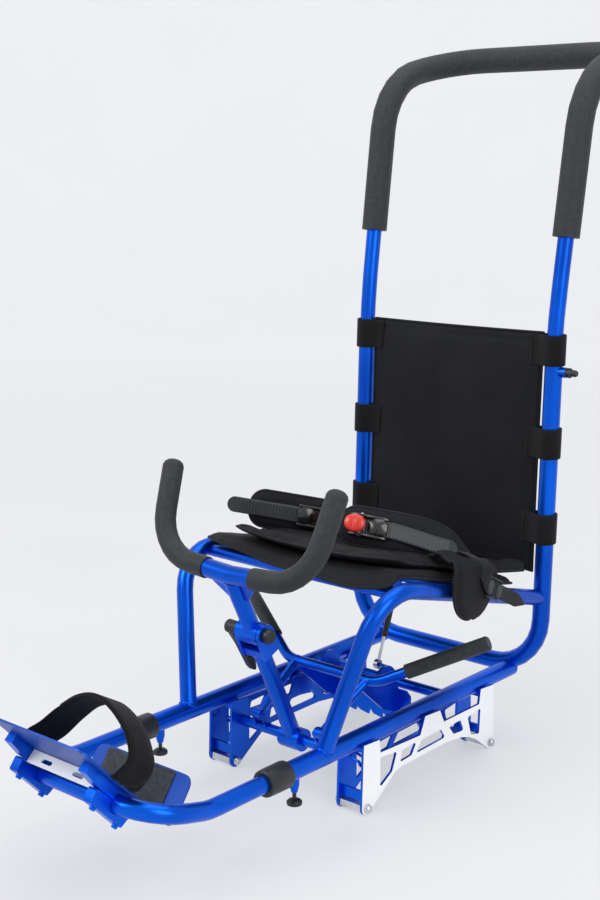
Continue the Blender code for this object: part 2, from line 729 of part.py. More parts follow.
def build_footrest_clamps(surface):
    """Split clamps that hold the front tube: upper halves, and lower caps with their bolts."""
    a, b = tube_on_sole()
    grip = TELESCOPE_TUBE / 2 + GAP
    low = SHEET / 2 + GAP
    high = b + 0.0200
    origin = (0, FRONT_CORNER[1], FRONT_CORNER[2])
    hole = circle((a, b), grip, 20)
    screws = (a - 0.0225, a + 0.0275)
    upper_outline = [(a - 0.030, low), (a + 0.075, low), (a + 0.075, b - 0.004), (a + 0.045, b - 0.0006),
                     (a - 0.030, b - 0.0006)]
    cap_outline = soft_outline([(a - 0.030, b + 0.0006), (a + 0.045, b + 0.0006), (a + 0.042, high),
                                (a - 0.026, high)], 0.003)
    for side, word in ((1, "right"), (-1, "left")):
        x = side * CLAMP_X
        upper = make(f"footrest_clamp_{word}",
                     lambda mesh: prism(mesh, upper_outline, sole_place(x), CLAMP_WIDTH), surface, origin)
        cap = make(f"footrest_clamp_cap_{word}",
                   lambda mesh: prism(mesh, cap_outline, sole_place(x), CLAMP_WIDTH), surface, origin)
        for piece in (upper, cap):
            cut(piece, lambda mesh: prism(mesh, hole, sole_place(x), 0.04))
            cut(piece, cutter_tube(front_path(), TELESCOPE_TUBE))

        def screw_holes(mesh):
            for along in screws:
                rod(mesh, sole_point(x, along, b - 0.008), sole_point(x, along, b + 0.0012), 0.0056, 10)
        cut(upper, screw_holes)

        def bolts(mesh):
            for along in screws:
                start = sole_point(x, along, b - 0.0070)
                under = (sole_point(x, along, high) - start).normalized()
                reach = (sole_point(x, along, high) - start).length
                turned(mesh, start, under, [(0.0024, 0.0), (0.0024, reach - 0.001), (0.0042, reach - 0.0009),
                                            (0.0042, reach + 0.0030), (0.0034, reach + 0.0040)], 10)
        weld(cap, bolts)


def build_slotted_web(surface):
    """White slotted strip that hangs between the two clamps."""
    a, b = tube_on_sole()
    half = CLAMP_X - CLAMP_WIDTH / 2 - GAP
    place = placed(sole_point(0, a + 0.036, 0.0), (1, 0, 0), sole_point(0, 0, 1) - sole_point(0, 0, 0))
    outline = [(-half, 0.0022), (half, 0.0022), (half, 0.0200), (-half, 0.0200)]
    web = make("footrest_slotted_web", lambda mesh: prism(mesh, outline, place, 0.003), surface,
               (0, *FRONT_CORNER[1:]))

    def slots(mesh):
        for x in (-0.030, 0.030):
            slot = soft_outline([(x - 0.010, 0.0085), (x + 0.010, 0.0085), (x + 0.010, 0.0145),
                                 (x - 0.010, 0.0145)], 0.0028, 3)
            prism(mesh, slot, place, 0.02)
    cut(web, slots)


def build_toe_strap(surface):
    """Arched hook-and-loop strap whose ends fold under the sole plate's edges."""
    edge = FOOTREST_WIDTH / 2
    crossing = 0.122
    under = SHEET / 2 + 0.0020
    arch = [(edge + 0.014, -0.552, 0.203), (0.078, -0.543, 0.247), (0.010, -0.540, 0.269),
            (-0.046, -0.540, 0.254), (-0.096, -0.546, 0.212)]
    corners = [sole_point(edge - 0.0090, crossing, under), sole_point(edge + 0.0040, crossing, under)]
    corners += [Vector(point) for point in arch]
    corners += [sole_point(-edge - 0.0040, crossing, under), sole_point(-edge + 0.0090, crossing, under)]
    line = rounded_path(corners, [0.003, 0.06, 0.05, 0.06, 0.06, 0.05, 0.003], [2, 3, 3, 3, 3, 3, 2])
    width = 0.046
    tilt = math.radians(30)
    on_arch = Vector((0, -math.cos(tilt), math.sin(tilt)))
    on_sole = Vector((0, -math.cos(SOLE_ANGLE), math.sin(SOLE_ANGLE)))

    def width_direction(index):
        rise = (line[index].z - 0.180) / 0.06
        return on_sole.lerp(on_arch, min(max(rise, 0.0), 1.0)).normalized()
    make("toe_strap", lambda mesh: band_along(mesh, line, width_direction, width, 0.0024), surface,
         (0, *FRONT_CORNER[1:]))


# Handlebar and its column

def along_column(distance, side=0.0):
    """Point on the column's centre line, measured up from its foot."""
    foot = Vector((side, *COLUMN_FOOT))
    up = (Vector((0, *HINGE)) - Vector((0, *COLUMN_FOOT))).normalized()
    return foot + up * distance


def column_length():
    return (Vector((0, *HINGE)) - Vector((0, *COLUMN_FOOT))).length


def build_column(blue, steel):
    """Base sleeve on the cross tube, lower column with its hinge clevis, and the hinge bolt."""
    y, z = COLUMN_FOOT
    sleeve = 0.034
    make("column_base_sleeve",
         lambda mesh: rod(mesh, (-0.019, y, z), (0.019, y, z), sleeve, 20, SMALL_TUBE + 2 * GAP), blue)
    top = column_length() - 0.021
    column = make("column_lower_tube",
                  lambda mesh: rod(mesh, along_column(0.004), along_column(top), TELESCOPE_TUBE, 16), blue)
    cut(column, lambda mesh: rod(mesh, (-0.06, y, z), (0.06, y, z), sleeve + 2 * GAP, 22))

    hinge_y, hinge_z = HINGE
    up = (Vector((0, *HINGE)) - Vector((0, *COLUMN_FOOT))).normalized()
    across = (0, -up.z, up.y)
    ear_radius = 0.0165
    ear_x = 0.0205
    half = ear_x - 0.0015
    block = [(-half, -0.0150), (half, -0.0150), (half, 0.0150), (-half, 0.0150)]
    weld(column, lambda mesh: prism(mesh, block, placed(Vector((0, *HINGE)) - up * 0.0272, (1, 0, 0), across), 0.012))

    def ears(mesh):
        for side in (1, -1):
            ring = [(ear_radius * math.cos(math.radians(t)), ear_radius * math.sin(math.radians(t)))
                    for t in range(0, 181, 20)]
            prism(mesh, ring + [(-ear_radius, -0.034), (ear_radius, -0.034)],
                  placed((side * ear_x, hinge_y, hinge_z), across, up), 0.006)
    weld(column, ears)
    cut(column, lambda mesh: rod(mesh, (-0.0174, hinge_y, hinge_z), (0.0174, hinge_y, hinge_z), 0.0364, 24))
    cut(column, lambda mesh: rod(mesh, (-0.03, hinge_y, hinge_z), (0.03, hinge_y, hinge_z), 0.0106, 14))
    make("hinge_bolt",
         lambda mesh: turned(mesh, (-0.0275, hinge_y, hinge_z), (1, 0, 0),
                             [(0.0050, 0.0), (0.0050, 0.0513), (0.0104, 0.0515), (0.0104, 0.0580),
                              (0.0090, 0.0610), (0.0050, 0.0612)], 20), steel)


LEVER_LENGTH = 0.088
LEVER_X = -0.0425


def build_clamp_lever(black):
    hinge_y, hinge_z = HINGE
    down = Vector((0, 0.51, -0.86)).normalized()
    place = placed((LEVER_X, hinge_y, hinge_z), down, (0, down.z, -down.y))
    arm = [(0.0, -0.0085), (0.030, -0.0070), (LEVER_LENGTH - 0.012, -0.0062), (LEVER_LENGTH, -0.002),
           (LEVER_LENGTH, 0.003), (LEVER_LENGTH - 0.012, 0.0062), (0.030, 0.0060), (0.0, 0.0085)]
    lever = make("clamp_lever",
                 lambda mesh: turned(mesh, (-0.0240, hinge_y, hinge_z), (-1, 0, 0),
                                     [(0.0085, 0.0), (0.0095, 0.0140), (0.0098, 0.0250), (0.0080, 0.0270)], 20),
                 black, (0, *HINGE))
    weld(lever, lambda mesh: prism(mesh, soft_outline(arm, 0.004), place, 0.009))
    slot = soft_outline([(0.028, -0.0026), (0.066, -0.0020), (0.066, 0.0020), (0.028, 0.0026)], 0.0015)
    cut(lever, lambda mesh: prism(mesh, slot, place, 0.03))
    cut(lever, lambda mesh: rod(mesh, (-0.0235, hinge_y, hinge_z), (-0.0280, hinge_y, hinge_z), 0.0106, 14))


def foam_grip(mesh, line):
    """Foam sleeve over a bent tube, open at its start and domed at its end."""
    outer = sweep_rings(mesh, line, GRIP / 2, 16)
    for ring, other in zip(outer, outer[1:]):
        bridge(mesh, ring, other)
    tangent = (line[-1] - line[-2]).normalized()
    last = outer[-1]
    for along, scale in ((0.0050, 0.86), (0.0085, 0.55), (0.0098, 0.22)):
        ring = [mesh.verts.new(line[-1] + (vertex.co - line[-1]) * scale + tangent * along) for vertex in outer[-1]]
        bridge(mesh, last, ring)
        last = ring
    mesh.faces.new(last)
    inner = sweep_rings(mesh, line[:-1] + [line[-1] - tangent * 0.003], BAR_TUBE / 2 + GAP, 16)
    for ring, other in zip(inner, inner[1:]):
        bridge(mesh, ring, other)
    mesh.faces.new(inner[-1])
    bridge(mesh, outer[0], inner[0])


def build_handlebar(blue, foam):
    origin = (0, *HINGE)
    hinge = Vector(origin)
    centre = Vector((0, *BAR_CENTRE))
    sleeve_size = GRIP - 0.004
    across = [Vector((-0.05, *BAR_CENTRE)), Vector((0.05, *BAR_CENTRE))]
    stem = make("column_upper_tube",
                lambda mesh: rod(mesh, hinge, centre, TELESCOPE_TUBE, 16), blue, origin)
    weld(stem, lambda mesh: rod(mesh, (-0.0171, *HINGE), (0.0171, *HINGE), 0.034, 22))
    cut(stem, lambda mesh: rod(mesh, (-0.03, *HINGE), (0.03, *HINGE), 0.0106, 14))
    cut(stem, lambda mesh: rod(mesh, across[0], across[1], sleeve_size + 2 * GAP, 22))
    make("handlebar_tube", lambda mesh: tube(mesh, handlebar_path(), BAR_TUBE, 14), blue, origin)

    reach = GRIP_START_X - GAP
    end = centre.lerp(Vector(BAR_CORNER), reach / BAR_CORNER[0])
    sleeve_line = [Vector((-end.x, end.y, end.z)), centre, end]
    sleeve = make("handlebar_sleeve", lambda mesh: tube(mesh, sleeve_line, sleeve_size, 20), blue, origin)

    def gussets(mesh):
        down = (hinge - centre).normalized()
        for side in (1, -1):
            place = placed(centre, (side, 0, 0), down)
            outline = [(0.0130, 0.0125), (0.0405, 0.0125), (0.0385, 0.0180), (0.0175, 0.0420), (0.0130, 0.0420)]
            prism(mesh, outline, place, 0.004)
    weld(sleeve, gussets)
    cut(sleeve, cutter_tube(handlebar_path(), BAR_TUBE, 16))

    tip = Vector(BAR_TIP)
    corner = Vector(BAR_CORNER)
    start = centre.lerp(corner, GRIP_START_X / corner.x)
    beyond = tip + (tip - corner).normalized() * 0.004
    right = rounded_path([start, corner, beyond], HANDLEBAR_BEND, 7)

    make("handlebar_grip_right", lambda mesh: foam_grip(mesh, right), foam, origin)
    make("handlebar_grip_left", lambda mesh: foam_grip(mesh, mirror_points(right)), foam, origin)


# Brake lever with its toothed blade and return strut

def build_brake_lever(blue, foam):
    origin = (0, *BRAKE_PIVOT)
    pivot_y, pivot_z = BRAKE_PIVOT
    hub_half = BRAKE_HUB / 2
    lever = make("brake_lever_bar", lambda mesh: tube(mesh, brake_path(), SMALL_TUBE, 12), blue, origin)
    for side in (1, -1):
        middle = side * BRAKE_ARM_X
        weld(lever, lambda mesh: rod(mesh, (middle, pivot_y, pivot_z), (side * 0.069, *BRAKE_BAR), 0.0125, 14))
        weld(lever, lambda mesh: rod(mesh, (middle - hub_half, pivot_y, pivot_z),
                                     (middle + hub_half, pivot_y, pivot_z), 0.017, 20))
        cut(lever, lambda mesh: rod(mesh, (middle - 0.01, pivot_y, pivot_z), (middle + 0.01, pivot_y, pivot_z),
                                    0.0062, 10))
    tip = Vector(BRAKE_TIP)
    corner = Vector((BRAKE_CORNER_X, *BRAKE_BAR))
    line = (tip - corner).normalized()
    start = corner + line * (Vector(BRAKE_GRIP_START) - corner).dot(line)
    length = (tip - start).length
    profile = [(BRAKE_GRIP / 2, 0.0), (BRAKE_GRIP / 2, length), (BRAKE_GRIP * 0.42, length + 0.003)]
    for side, word in ((1, "right"), (-1, "left")):
        base = Vector((side * start.x, start.y, start.z))
        direction = Vector((side * line.x, line.y, line.z))
        grip = make(f"brake_grip_{word}", lambda mesh: turned(mesh, base, direction, profile, 20), foam, origin)
        cut(grip, lambda mesh: rod(mesh, base - direction * 0.01, base + direction * (length + GAP),
                                   SMALL_TUBE + 2 * GAP, 16))
    build_brake_blade(blue, origin)


def build_brake_blade(blue, origin):
    """Toothed blade hung from two cheek plates, with the pin that holds the strut's eye."""
    cy, cz = CHEEK_CENTRE
    bar_y, bar_z = BRAKE_BAR
    rim = [(cy + CHEEK_RADIUS * math.cos(math.radians(t)), cz + CHEEK_RADIUS * math.sin(math.radians(t)))
           for t in range(-10, 161, 12)]
    outline = rim + [(bar_y - 0.004, bar_z + 0.002), (bar_y - 0.004, bar_z - 0.014), (0.000, 0.088),
                     (0.0420, 0.070), (0.0420, 0.104)]
    half = 0.078
    count = 6
    pitch = 2 * half / count
    teeth = []
    for number in range(count):
        left = -half + number * pitch
        teeth += [(left, 0.064), (left + pitch * 0.30, 0.056), (left + pitch * 0.92, 0.053)]
    top = [(half, 0.064), (half, 0.100), (half - 0.008, 0.108), (-half + 0.008, 0.108), (-half, 0.100)]
    blade = make("brake_blade",
                 lambda mesh: prism(mesh, teeth + top, placed((0, 0.0428, 0), (1, 0, 0), (0, 0, 1)), 0.004),
                 blue, origin)
    for side in (1, -1):
        weld(blade, lambda mesh: prism(mesh, outline, side_plane(side * CHEEK_X), 0.004))
    pin = (STRUT_X - 0.006, *STRUT_EYE)
    weld(blade, lambda mesh: rod(mesh, pin, (CHEEK_X - 0.001, *STRUT_EYE), 0.0050, 10))
    cut(blade, cutter_tube(brake_path(), SMALL_TUBE, 12))


def build_strut(black, steel):
    """Slim return strut: cylinder hung from the seat, rod with an eye on the brake."""
    top = Vector((STRUT_X, *STRUT_TOP))
    eye = Vector((STRUT_X, *STRUT_EYE))
    down = (eye - top).normalized()
    length = (eye - top).length
    barrel = length * 0.58
    half_eye = Vector((0.0035, 0, 0))

    body = make("strut_cylinder",
                lambda mesh: rod(mesh, top - half_eye, top + half_eye, 0.0118, 18), black, top)
    weld(body, lambda mesh: turned(mesh, top + down * 0.002, down,
                                   [(0.0028, 0.0), (0.0048, 0.006), (0.0048, barrel), (0.0040, barrel + 0.0015)], 16))
    cut(body, lambda mesh: rod(mesh, top - half_eye * 2, top + half_eye * 2, 0.0056, 10))
    cut(body, lambda mesh: rod(mesh, top + down * 0.012, top + down * length, 0.0058, 14))

    hole = 0.0050 + 2 * STRUT_PLAY
    piston = make("strut_rod",
                  lambda mesh: rod(mesh, eye - half_eye, eye + half_eye, hole + 0.0060, 20), steel, eye)
    weld(piston, lambda mesh: rod(mesh, eye - down * (length - 0.050), eye - down * 0.004, 0.0050, 14))
    cut(piston, lambda mesh: rod(mesh, eye - half_eye * 2, eye + half_eye * 2, hole, 20))


# Push handle

def build_push_handle(blue, foam):
    origin = (0, post_y(POST_TOP_Z), POST_TOP_Z)
    path = handle_path()
    make("push_handle_tube", lambda mesh: tube(mesh, path, TELESCOPE_TUBE, 16), blue, origin)
    foam_start_z = 0.795
    right = [point for point in path[:len(path) // 2] if point.z > foam_start_z]
    below = [point for point in path[:len(path) // 2] if point.z <= foam_start_z][-1]
    share = (foam_start_z - below.z) / (right[0].z - below.z)
    start = below.lerp(right[0], share)
    line = [start] + right
    line = line + mirror_points(line)[::-1]
    make("handle_foam", lambda mesh: tube(mesh, line, HANDLE_FOAM, 16, TELESCOPE_TUBE + 2 * GAP), foam, origin)


def build_lock_knob(black):
    y = post_y(LOCK_Z)
    outside = POST_X + FRAME_TUBE / 2
    profile = [(0.0029, 0.0), (0.0029, 0.0085), (0.0075, 0.0087), (0.0078, 0.0150), (0.0050, 0.0175),
               (0.0055, 0.0230), (0.0042, 0.0262)]
    make("lock_knob", lambda mesh: turned(mesh, (outside + 0.0010, y, LOCK_Z), (1, 0, 0), profile, 18), black,
         (outside, y, LOCK_Z))


# Soft pieces

def pillow(mesh, place, half_a, half_b, thick, crown, cells=10, underside=0.30, power=6):
    """Closed cushion: flat underside, crowned top, drawn-in edges."""
    tops = []
    lows = []
    for i in range(cells + 1):
        top_row = []
        low_row = []
        for j in range(cells + 1):
            u = -1 + 2 * i / cells
            v = -1 + 2 * j / cells
            u = math.sin(u * math.pi / 2)
            v = math.sin(v * math.pi / 2)
            edge = (1 - abs(u) ** power) * (1 - abs(v) ** power)
            bulge = (1 - u * u) * (1 - v * v)
            draw = 1 - 0.015 * (1 - edge)
            a = half_a * u * draw
            b = half_b * v * draw
            height = thick * (0.35 + 0.65 * edge ** 0.4) + crown * bulge
            low = thick * underside * (1 - edge ** 0.3)
            top_row.append(mesh.verts.new(place @ Vector((a, b, height))))
            low_row.append(mesh.verts.new(place @ Vector((a, b, low))))
        tops.append(top_row)
        lows.append(low_row)
    for i in range(cells):
        for j in range(cells):
            mesh.faces.new((tops[i][j], tops[i + 1][j], tops[i + 1][j + 1], tops[i][j + 1]))
            mesh.faces.new((lows[i][j], lows[i][j + 1], lows[i + 1][j + 1], lows[i + 1][j]))
    border = [(i, 0) for i in range(cells)] + [(cells, j) for j in range(cells)]
    border += [(i, cells) for i in range(cells, 0, -1)] + [(0, j) for j in range(cells, 0, -1)]
    for (i, j), (k, m) in zip(border, border[1:] + border[:1]):
        mesh.faces.new((tops[i][j], lows[i][j], lows[k][m], tops[k][m]))


def side_tube_z(y):
    """Height of the side tubes' centre line over their straight run."""
    return SEAT_CORNER[2] + SEAT_SLOPE * (y - SEAT_CORNER[1])


def seat_top_z(y):
    """Height of the seat cushion's upper face."""
    slope = math.atan(SEAT_SLOPE)
    stack = TELESCOPE_TUBE / 2 + GAP + BASE_PAD + GAP + CUSHION
    return side_tube_z(y) + stack / math.cos(slope)


def seat_place(y_mid, lift):
    """Seat plane over the side tubes: a is across, b goes back along the slope."""
    slope = math.atan(SEAT_SLOPE)
    back = Vector((0, math.cos(slope), math.sin(slope)))
    normal = Vector((0, -back.z, back.y))
    base = Vector((0, y_mid, side_tube_z(y_mid))) + normal * (TELESCOPE_TUBE / 2 + GAP + lift)
    return placed(base, (1, 0, 0), back)


def build_cushions(nylon):
    make("seat_base_pad",
         lambda mesh: pillow(mesh, seat_place(0.0380, 0.0), SEAT_HALF_WIDTH, 0.184, BASE_PAD, 0.0, 8, 0.0), nylon)
    make("seat_cushion",
         lambda mesh: pillow(mesh, seat_place(0.0400, BASE_PAD + GAP), 0.170, 0.176, CUSHION, 0.0, 10), nylon)
    middle_z = (BACK_BOTTOM_Z + BACK_TOP_Z) / 2
    up = Vector((0, POST_LEAN, 1)).normalized()
    place = placed((0, post_y(middle_z) + 0.008, middle_z), (1, 0, 0), up)
    half_height = (BACK_TOP_Z - BACK_BOTTOM_Z) / 2
    back = make("back_cushion",
                lambda mesh: pillow(mesh, place, BACK_HALF_WIDTH, half_height, 0.018, 0.003, 10), nylon)
    add_back_straps(back)


def add_back_straps(back):
    """Six loops, sewn to the back cushion's edges, that wrap the posts."""
    outer = FRAME_TUBE / 2 + GAP + 0.0026
    reach = POST_X - BACK_HALF_WIDTH + 0.006
    arc = [(outer * math.cos(math.radians(t)), outer * math.sin(math.radians(t))) for t in range(-120, 121, 30)]
    outline = arc + [(-reach, 0.0050), (-reach, -0.0050)]
    for side in (1, -1):
        for top in STRAP_TOPS:
            z = top - STRAP_TALL / 2
            place = placed((side * POST_X, post_y(z), z), (side, 0, 0), (0, 1, 0))
            weld(back, lambda mesh: prism(mesh, outline, place, STRAP_TALL), "MANIFOLD")
        post_ends = [Vector((side * POST_X, post_y(z), z)) for z in (BACK_BOTTOM_Z - 0.02, BACK_TOP_Z + 0.02)]
        cut(back, cutter_tube(post_ends, FRAME_TUBE), "MANIFOLD")
    cut(back, cutter_tube(hoop_path(), FRAME_TUBE), "MANIFOLD")


def band_along(mesh, line, wide_at, width, thickness):
    """Flat strap swept along a line; wide_at gives the width direction at each point."""
    rings = []
    for index, point in enumerate(line):
        before = line[max(index - 1, 0)]
        after = line[min(index + 1, len(line) - 1)]
        tangent = (after - before).normalized()
        wide = wide_at(index)
        wide = (wide - tangent * wide.dot(tangent)).normalized()
        out = tangent.cross(wide).normalized()
        ring = []
        for w, t in ((-0.5, -0.5), (0.5, -0.5), (0.5, 0.5), (-0.5, 0.5)):
            ring.append(mesh.verts.new(point + wide * (w * width) + out * (t * thickness)))
        rings.append(ring)
    for ring, other in zip(rings, rings[1:]):
        bridge(mesh, ring, other)
    mesh.faces.new(rings[0])
    mesh.faces.new(rings[-1])


def leaning(x, y, z, lean_share):
    """Width direction of a hip pad: upright at share 0, lying along the seat at share 1."""
    upright = Vector((x, y, z))
    flat_back = Vector((0, 0.9666, -0.2563))
    return upright.lerp(flat_back, lean_share).normalized()


def pad_line(side):
    """Centre line of a hip pad: straight under its belt; the right one goes on over the side tube."""
    origin, along, up, out = belt_frame(side)
    if side == -1:
        return [origin - along * 0.072 - out * 0.004, origin - along * 0.045, origin, origin + along * 0.045,
                origin + along * 0.080 - out * 0.003]
    points = [origin - along * 0.062, origin, origin + along * 0.034]
    for x, y, lift in ((0.118, 0.040, 0.0292), (0.146, 0.047, 0.0185), (0.170, 0.038, 0.0078)):
        points.append(Vector((x, y, seat_top_z(y) + lift)))
    outside_x = POST_X + 0.0262
    corner = Vector((outside_x, 0.036, points[-1].z))
    bottom = Vector((outside_x, 0.033, 0.262))
    return points + rounded_path([points[-1], corner, bottom], 0.016, 3)[1:]


RIGHT_PAD_LEAN = (0.0, 0.0, 0.0, 0.3, 0.7, 1.0)


def build_hip_pads(nylon):
    right = pad_line(1)
    left = pad_line(-1)

    def right_width(index):
        share = RIGHT_PAD_LEAN[index] if index < len(RIGHT_PAD_LEAN) else 1.0
        return leaning(-0.15, 0.45, 1.0, share)
    make("hip_pad_right", lambda mesh: band_along(mesh, right, right_width, 0.058, 0.011), nylon)
    make("hip_pad_left",
         lambda mesh: band_along(mesh, left, lambda index: leaning(0.15, 0.35, 1.0, 0.0), 0.056, 0.011), nylon)


def belt_frame(side):
    """Origin and axes on a hip pad's face: along the strap, up its width, out of the pad."""
    if side == 1:
        origin = Vector((0.058, -0.010, 0))
        along = Vector((0.85, 0.50, -0.1327)).normalized()
        up = leaning(-0.15, 0.45, 1.0, 0.0)
    else:
        origin = Vector((-0.100, -0.020, 0))
        along = Vector((0.72, 0.69, -0.1831)).normalized()
        up = leaning(0.15, 0.35, 1.0, 0.0)
    up = (up - along * up.dot(along)).normalized()
    origin.z = seat_top_z(origin.y) + (0.0308 if side == 1 else 0.0296)
    out = along.cross(up).normalized()
    return origin, along, up, out


def belt_box(mesh, frame, along_range, up_range, out_range):
    """Box in a belt frame, with its eight corners carried into space."""
    origin, along, up, out = frame
    corners = []
    for a in along_range:
        for b in up_range:
            for c in out_range:
                corners.append(mesh.verts.new(origin + along * a + up * b + out * c))
    for face in ((0, 1, 3, 2), (4, 5, 7, 6), (0, 1, 5, 4), (2, 3, 7, 6), (0, 2, 6, 4), (1, 3, 7, 5)):
        mesh.faces.new([corners[number] for number in face])


def build_belt_hardware(black, red):
    """Ladder straps, ratchet frames and red levers of the two hip belts."""
    base_out = 0.0055 + GAP + 0.0003
    strap_out = base_out + 0.0020 + GAP
    strap_thick = 0.0026

    end = 0.0105
    arc = [(end * math.cos(math.radians(t)), end * math.sin(math.radians(t))) for t in range(-75, 76, 25)]
    for side, word in ((1, "right"), (-1, "left")):
        frame = belt_frame(side)
        origin, along, up, out = frame
        low, high = STRAP_ENDS[side]
        if side == 1:
            outline = [(low, end), (low, -end)] + [(high - end + a, b) for a, b in arc]
        else:
            outline = [(high, -end), (high, end)] + [(low + end - a, -b) for a, b in arc]
        place = placed(origin + out * (strap_out + strap_thick / 2), along, up)
        make(f"ladder_strap_{word}", lambda mesh: prism(mesh, outline, place, strap_thick), black)

        ends = RATCHET_ENDS[side]
        piece = make(f"ratchet_frame_{word}",
                     lambda mesh: belt_box(mesh, frame, ends, (-0.0130, 0.0130), (base_out, base_out + 0.0020)),
                     black)
        for b in (-0.0135, 0.0115):
            weld(piece, lambda mesh: belt_box(mesh, frame, (ends[0] + 0.001, ends[1] - 0.001), (b, b + 0.0020),
                                              (base_out + 0.0005, base_out + 0.0135)), "MANIFOLD")
        pin = origin + along * RATCHET_PIN[side] + out * RATCHET_PIN_OUT
        weld(piece, lambda mesh: rod(mesh, pin - up * 0.0145, pin + up * 0.0145, 0.0022, 12), "MANIFOLD")

        heel = circle((0, 0), LEVER_HEEL, 14)
        tongue = [(-0.001 * side, -LEVER_HEEL), (-0.017 * side, -0.0030), (-0.018 * side, 0.0015),
                  (-0.001 * side, LEVER_HEEL)]
        lever = make(f"ratchet_lever_{word}",
                     lambda mesh: prism(mesh, soft_outline(tongue, 0.0008, 2), placed(pin, along, out), 0.0215),
                     red, pin)
        weld(lever, lambda mesh: prism(mesh, heel, placed(pin, along, out), 0.0215))
        cut(lever, lambda mesh: rod(mesh, pin - up * 0.02, pin + up * 0.02, 0.0027, 12))


def build_webbing(nylon):
    """Adjusting webbing that hangs outside the right hip pad, with its slide buckle."""
    outside_x = POST_X + 0.0262 + 0.0055 + GAP + 0.0028
    line = [Vector((outside_x, 0.004, 0.322)), Vector((outside_x, 0.050, 0.298)), Vector((outside_x, 0.100, 0.272)),
            Vector((outside_x - 0.004, 0.170, 0.243))]
    webbing = make("belt_webbing",
                   lambda mesh: band_along(mesh, line, lambda index: Vector((0, 0.45, 0.89)), 0.025, 0.0016), nylon)
    along = (line[2] - line[1]).normalized()
    middle = line[1].lerp(line[2], 0.5)
    up = Vector((1, 0, 0)).cross(along)
    place = placed(middle, along, up)
    bar = [(-0.016, -0.0155), (0.016, -0.0155), (0.016, 0.0155), (-0.016, 0.0155)]
    weld(webbing, lambda mesh: prism(mesh, soft_outline(bar, 0.003), place, 0.0055))
    for low, high in ((-0.010, -0.004), (0.004, 0.010)):
        for face in (1, -1):
            notch = placed(middle + Vector((face * 0.0030, 0, 0)), along, up)
            cut(webbing, lambda mesh: prism(mesh, [(low, -0.0105), (high, -0.0105), (high, 0.0105), (low, 0.0105)],
                                            notch, 0.0030))


def main():
    clear_scene()
    blue = paint("gloss_blue_paint", BLUE, 0.22, 0.35)
    white = paint("white_plate_finish", WHITE, 0.35)
    foam = paint("dark_grey_foam", FOAM, 0.85)
    nylon = paint("black_nylon", NYLON, 0.75)
    black = paint("black_plastic", BLACK, 0.45)
    steel = paint("bright_steel", STEEL, 0.30, 1.0)
    red = paint("red_plastic", RED, 0.35)
    rubber = paint("grey_grip_rubber", PAD_GREY, 0.90)
    build_rails(blue)
    build_rear_hoop(blue)
    build_seat_frame(blue)
    build_lower_cross_tubes(blue)
    build_brackets(blue, white, steel)
    build_levelling_feet(black)
    build_collars(black)
    build_front_tube(blue)
    build_foot_plate(blue)
    build_grip_pad(rubber)
    build_footrest_clamps(blue)
    build_slotted_web(white)
    build_toe_strap(nylon)
    build_column(blue, black)
    build_clamp_lever(black)
    build_handlebar(blue, foam)
    build_brake_lever(blue, foam)
    build_strut(black, steel)
    build_push_handle(blue, foam)
    build_lock_knob(black)
    build_cushions(nylon)
    build_hip_pads(nylon)
    build_belt_hardware(black, red)
    build_webbing(nylon)
    for item in bpy.data.objects:
        item.location.y += SHIFT_Y


main()
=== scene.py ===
# %% [markdown]
# An adaptive sled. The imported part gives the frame; this script dresses it: paint, foam, nylon, stitched
# pads, ribbed straps and welds, under a plain studio light at the photograph's angle.

# %% Load the frame
import json
import math
import bmesh
import bpy
from mathutils import Matrix, Vector, noise


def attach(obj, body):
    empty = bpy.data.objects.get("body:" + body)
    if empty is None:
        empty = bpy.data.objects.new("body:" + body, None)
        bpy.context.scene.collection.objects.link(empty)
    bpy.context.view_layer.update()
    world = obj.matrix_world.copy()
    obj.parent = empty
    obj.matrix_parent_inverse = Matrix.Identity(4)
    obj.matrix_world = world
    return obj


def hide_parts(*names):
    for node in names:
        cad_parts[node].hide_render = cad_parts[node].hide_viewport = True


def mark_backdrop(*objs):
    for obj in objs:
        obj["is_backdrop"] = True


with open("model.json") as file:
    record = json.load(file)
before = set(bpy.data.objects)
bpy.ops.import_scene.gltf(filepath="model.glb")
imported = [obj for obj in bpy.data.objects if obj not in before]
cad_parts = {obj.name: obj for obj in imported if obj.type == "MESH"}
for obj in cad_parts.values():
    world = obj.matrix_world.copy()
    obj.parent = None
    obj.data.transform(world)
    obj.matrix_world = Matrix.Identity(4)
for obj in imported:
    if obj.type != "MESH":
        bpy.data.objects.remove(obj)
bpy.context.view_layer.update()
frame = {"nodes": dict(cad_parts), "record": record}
NODES = frame["nodes"]

# %% [markdown]
# The camera stands where the photographer's stood: about 1.5 m ahead and 1.3 m to the side, 0.9 m up.

# %% Camera
CAMERA_PLACE = (1.319, -1.5926, 0.907)
CAMERA_AZIMUTH = 40.777
CAMERA_DOWN = 11.312
LENS = 57.59                    # mm on a 36 mm long side

camera = bpy.data.objects.new("camera", bpy.data.cameras.new("camera"))
camera.data.lens = LENS
camera.data.sensor_width = 36
camera.location = CAMERA_PLACE
camera.rotation_euler = (math.radians(90 - CAMERA_DOWN), 0, math.radians(CAMERA_AZIMUTH))
bpy.context.scene.collection.objects.link(camera)
bpy.context.scene.camera = camera
print("camera", CAMERA_PLACE)

# %% [markdown]
# Every material is a small node tree. These helpers turn a screen colour into a linear one and add a node
# with its settings and links in one call.

# %% Material helpers


def colour(code):
    """Linear colour of an sRGB hex code."""
    parts = [int(code[i:i + 2], 16) / 255 for i in (1, 3, 5)]
    return tuple(c / 12.92 if c <= 0.04045 else ((c + 0.055) / 1.055) ** 2.4 for c in parts) + (1.0,)


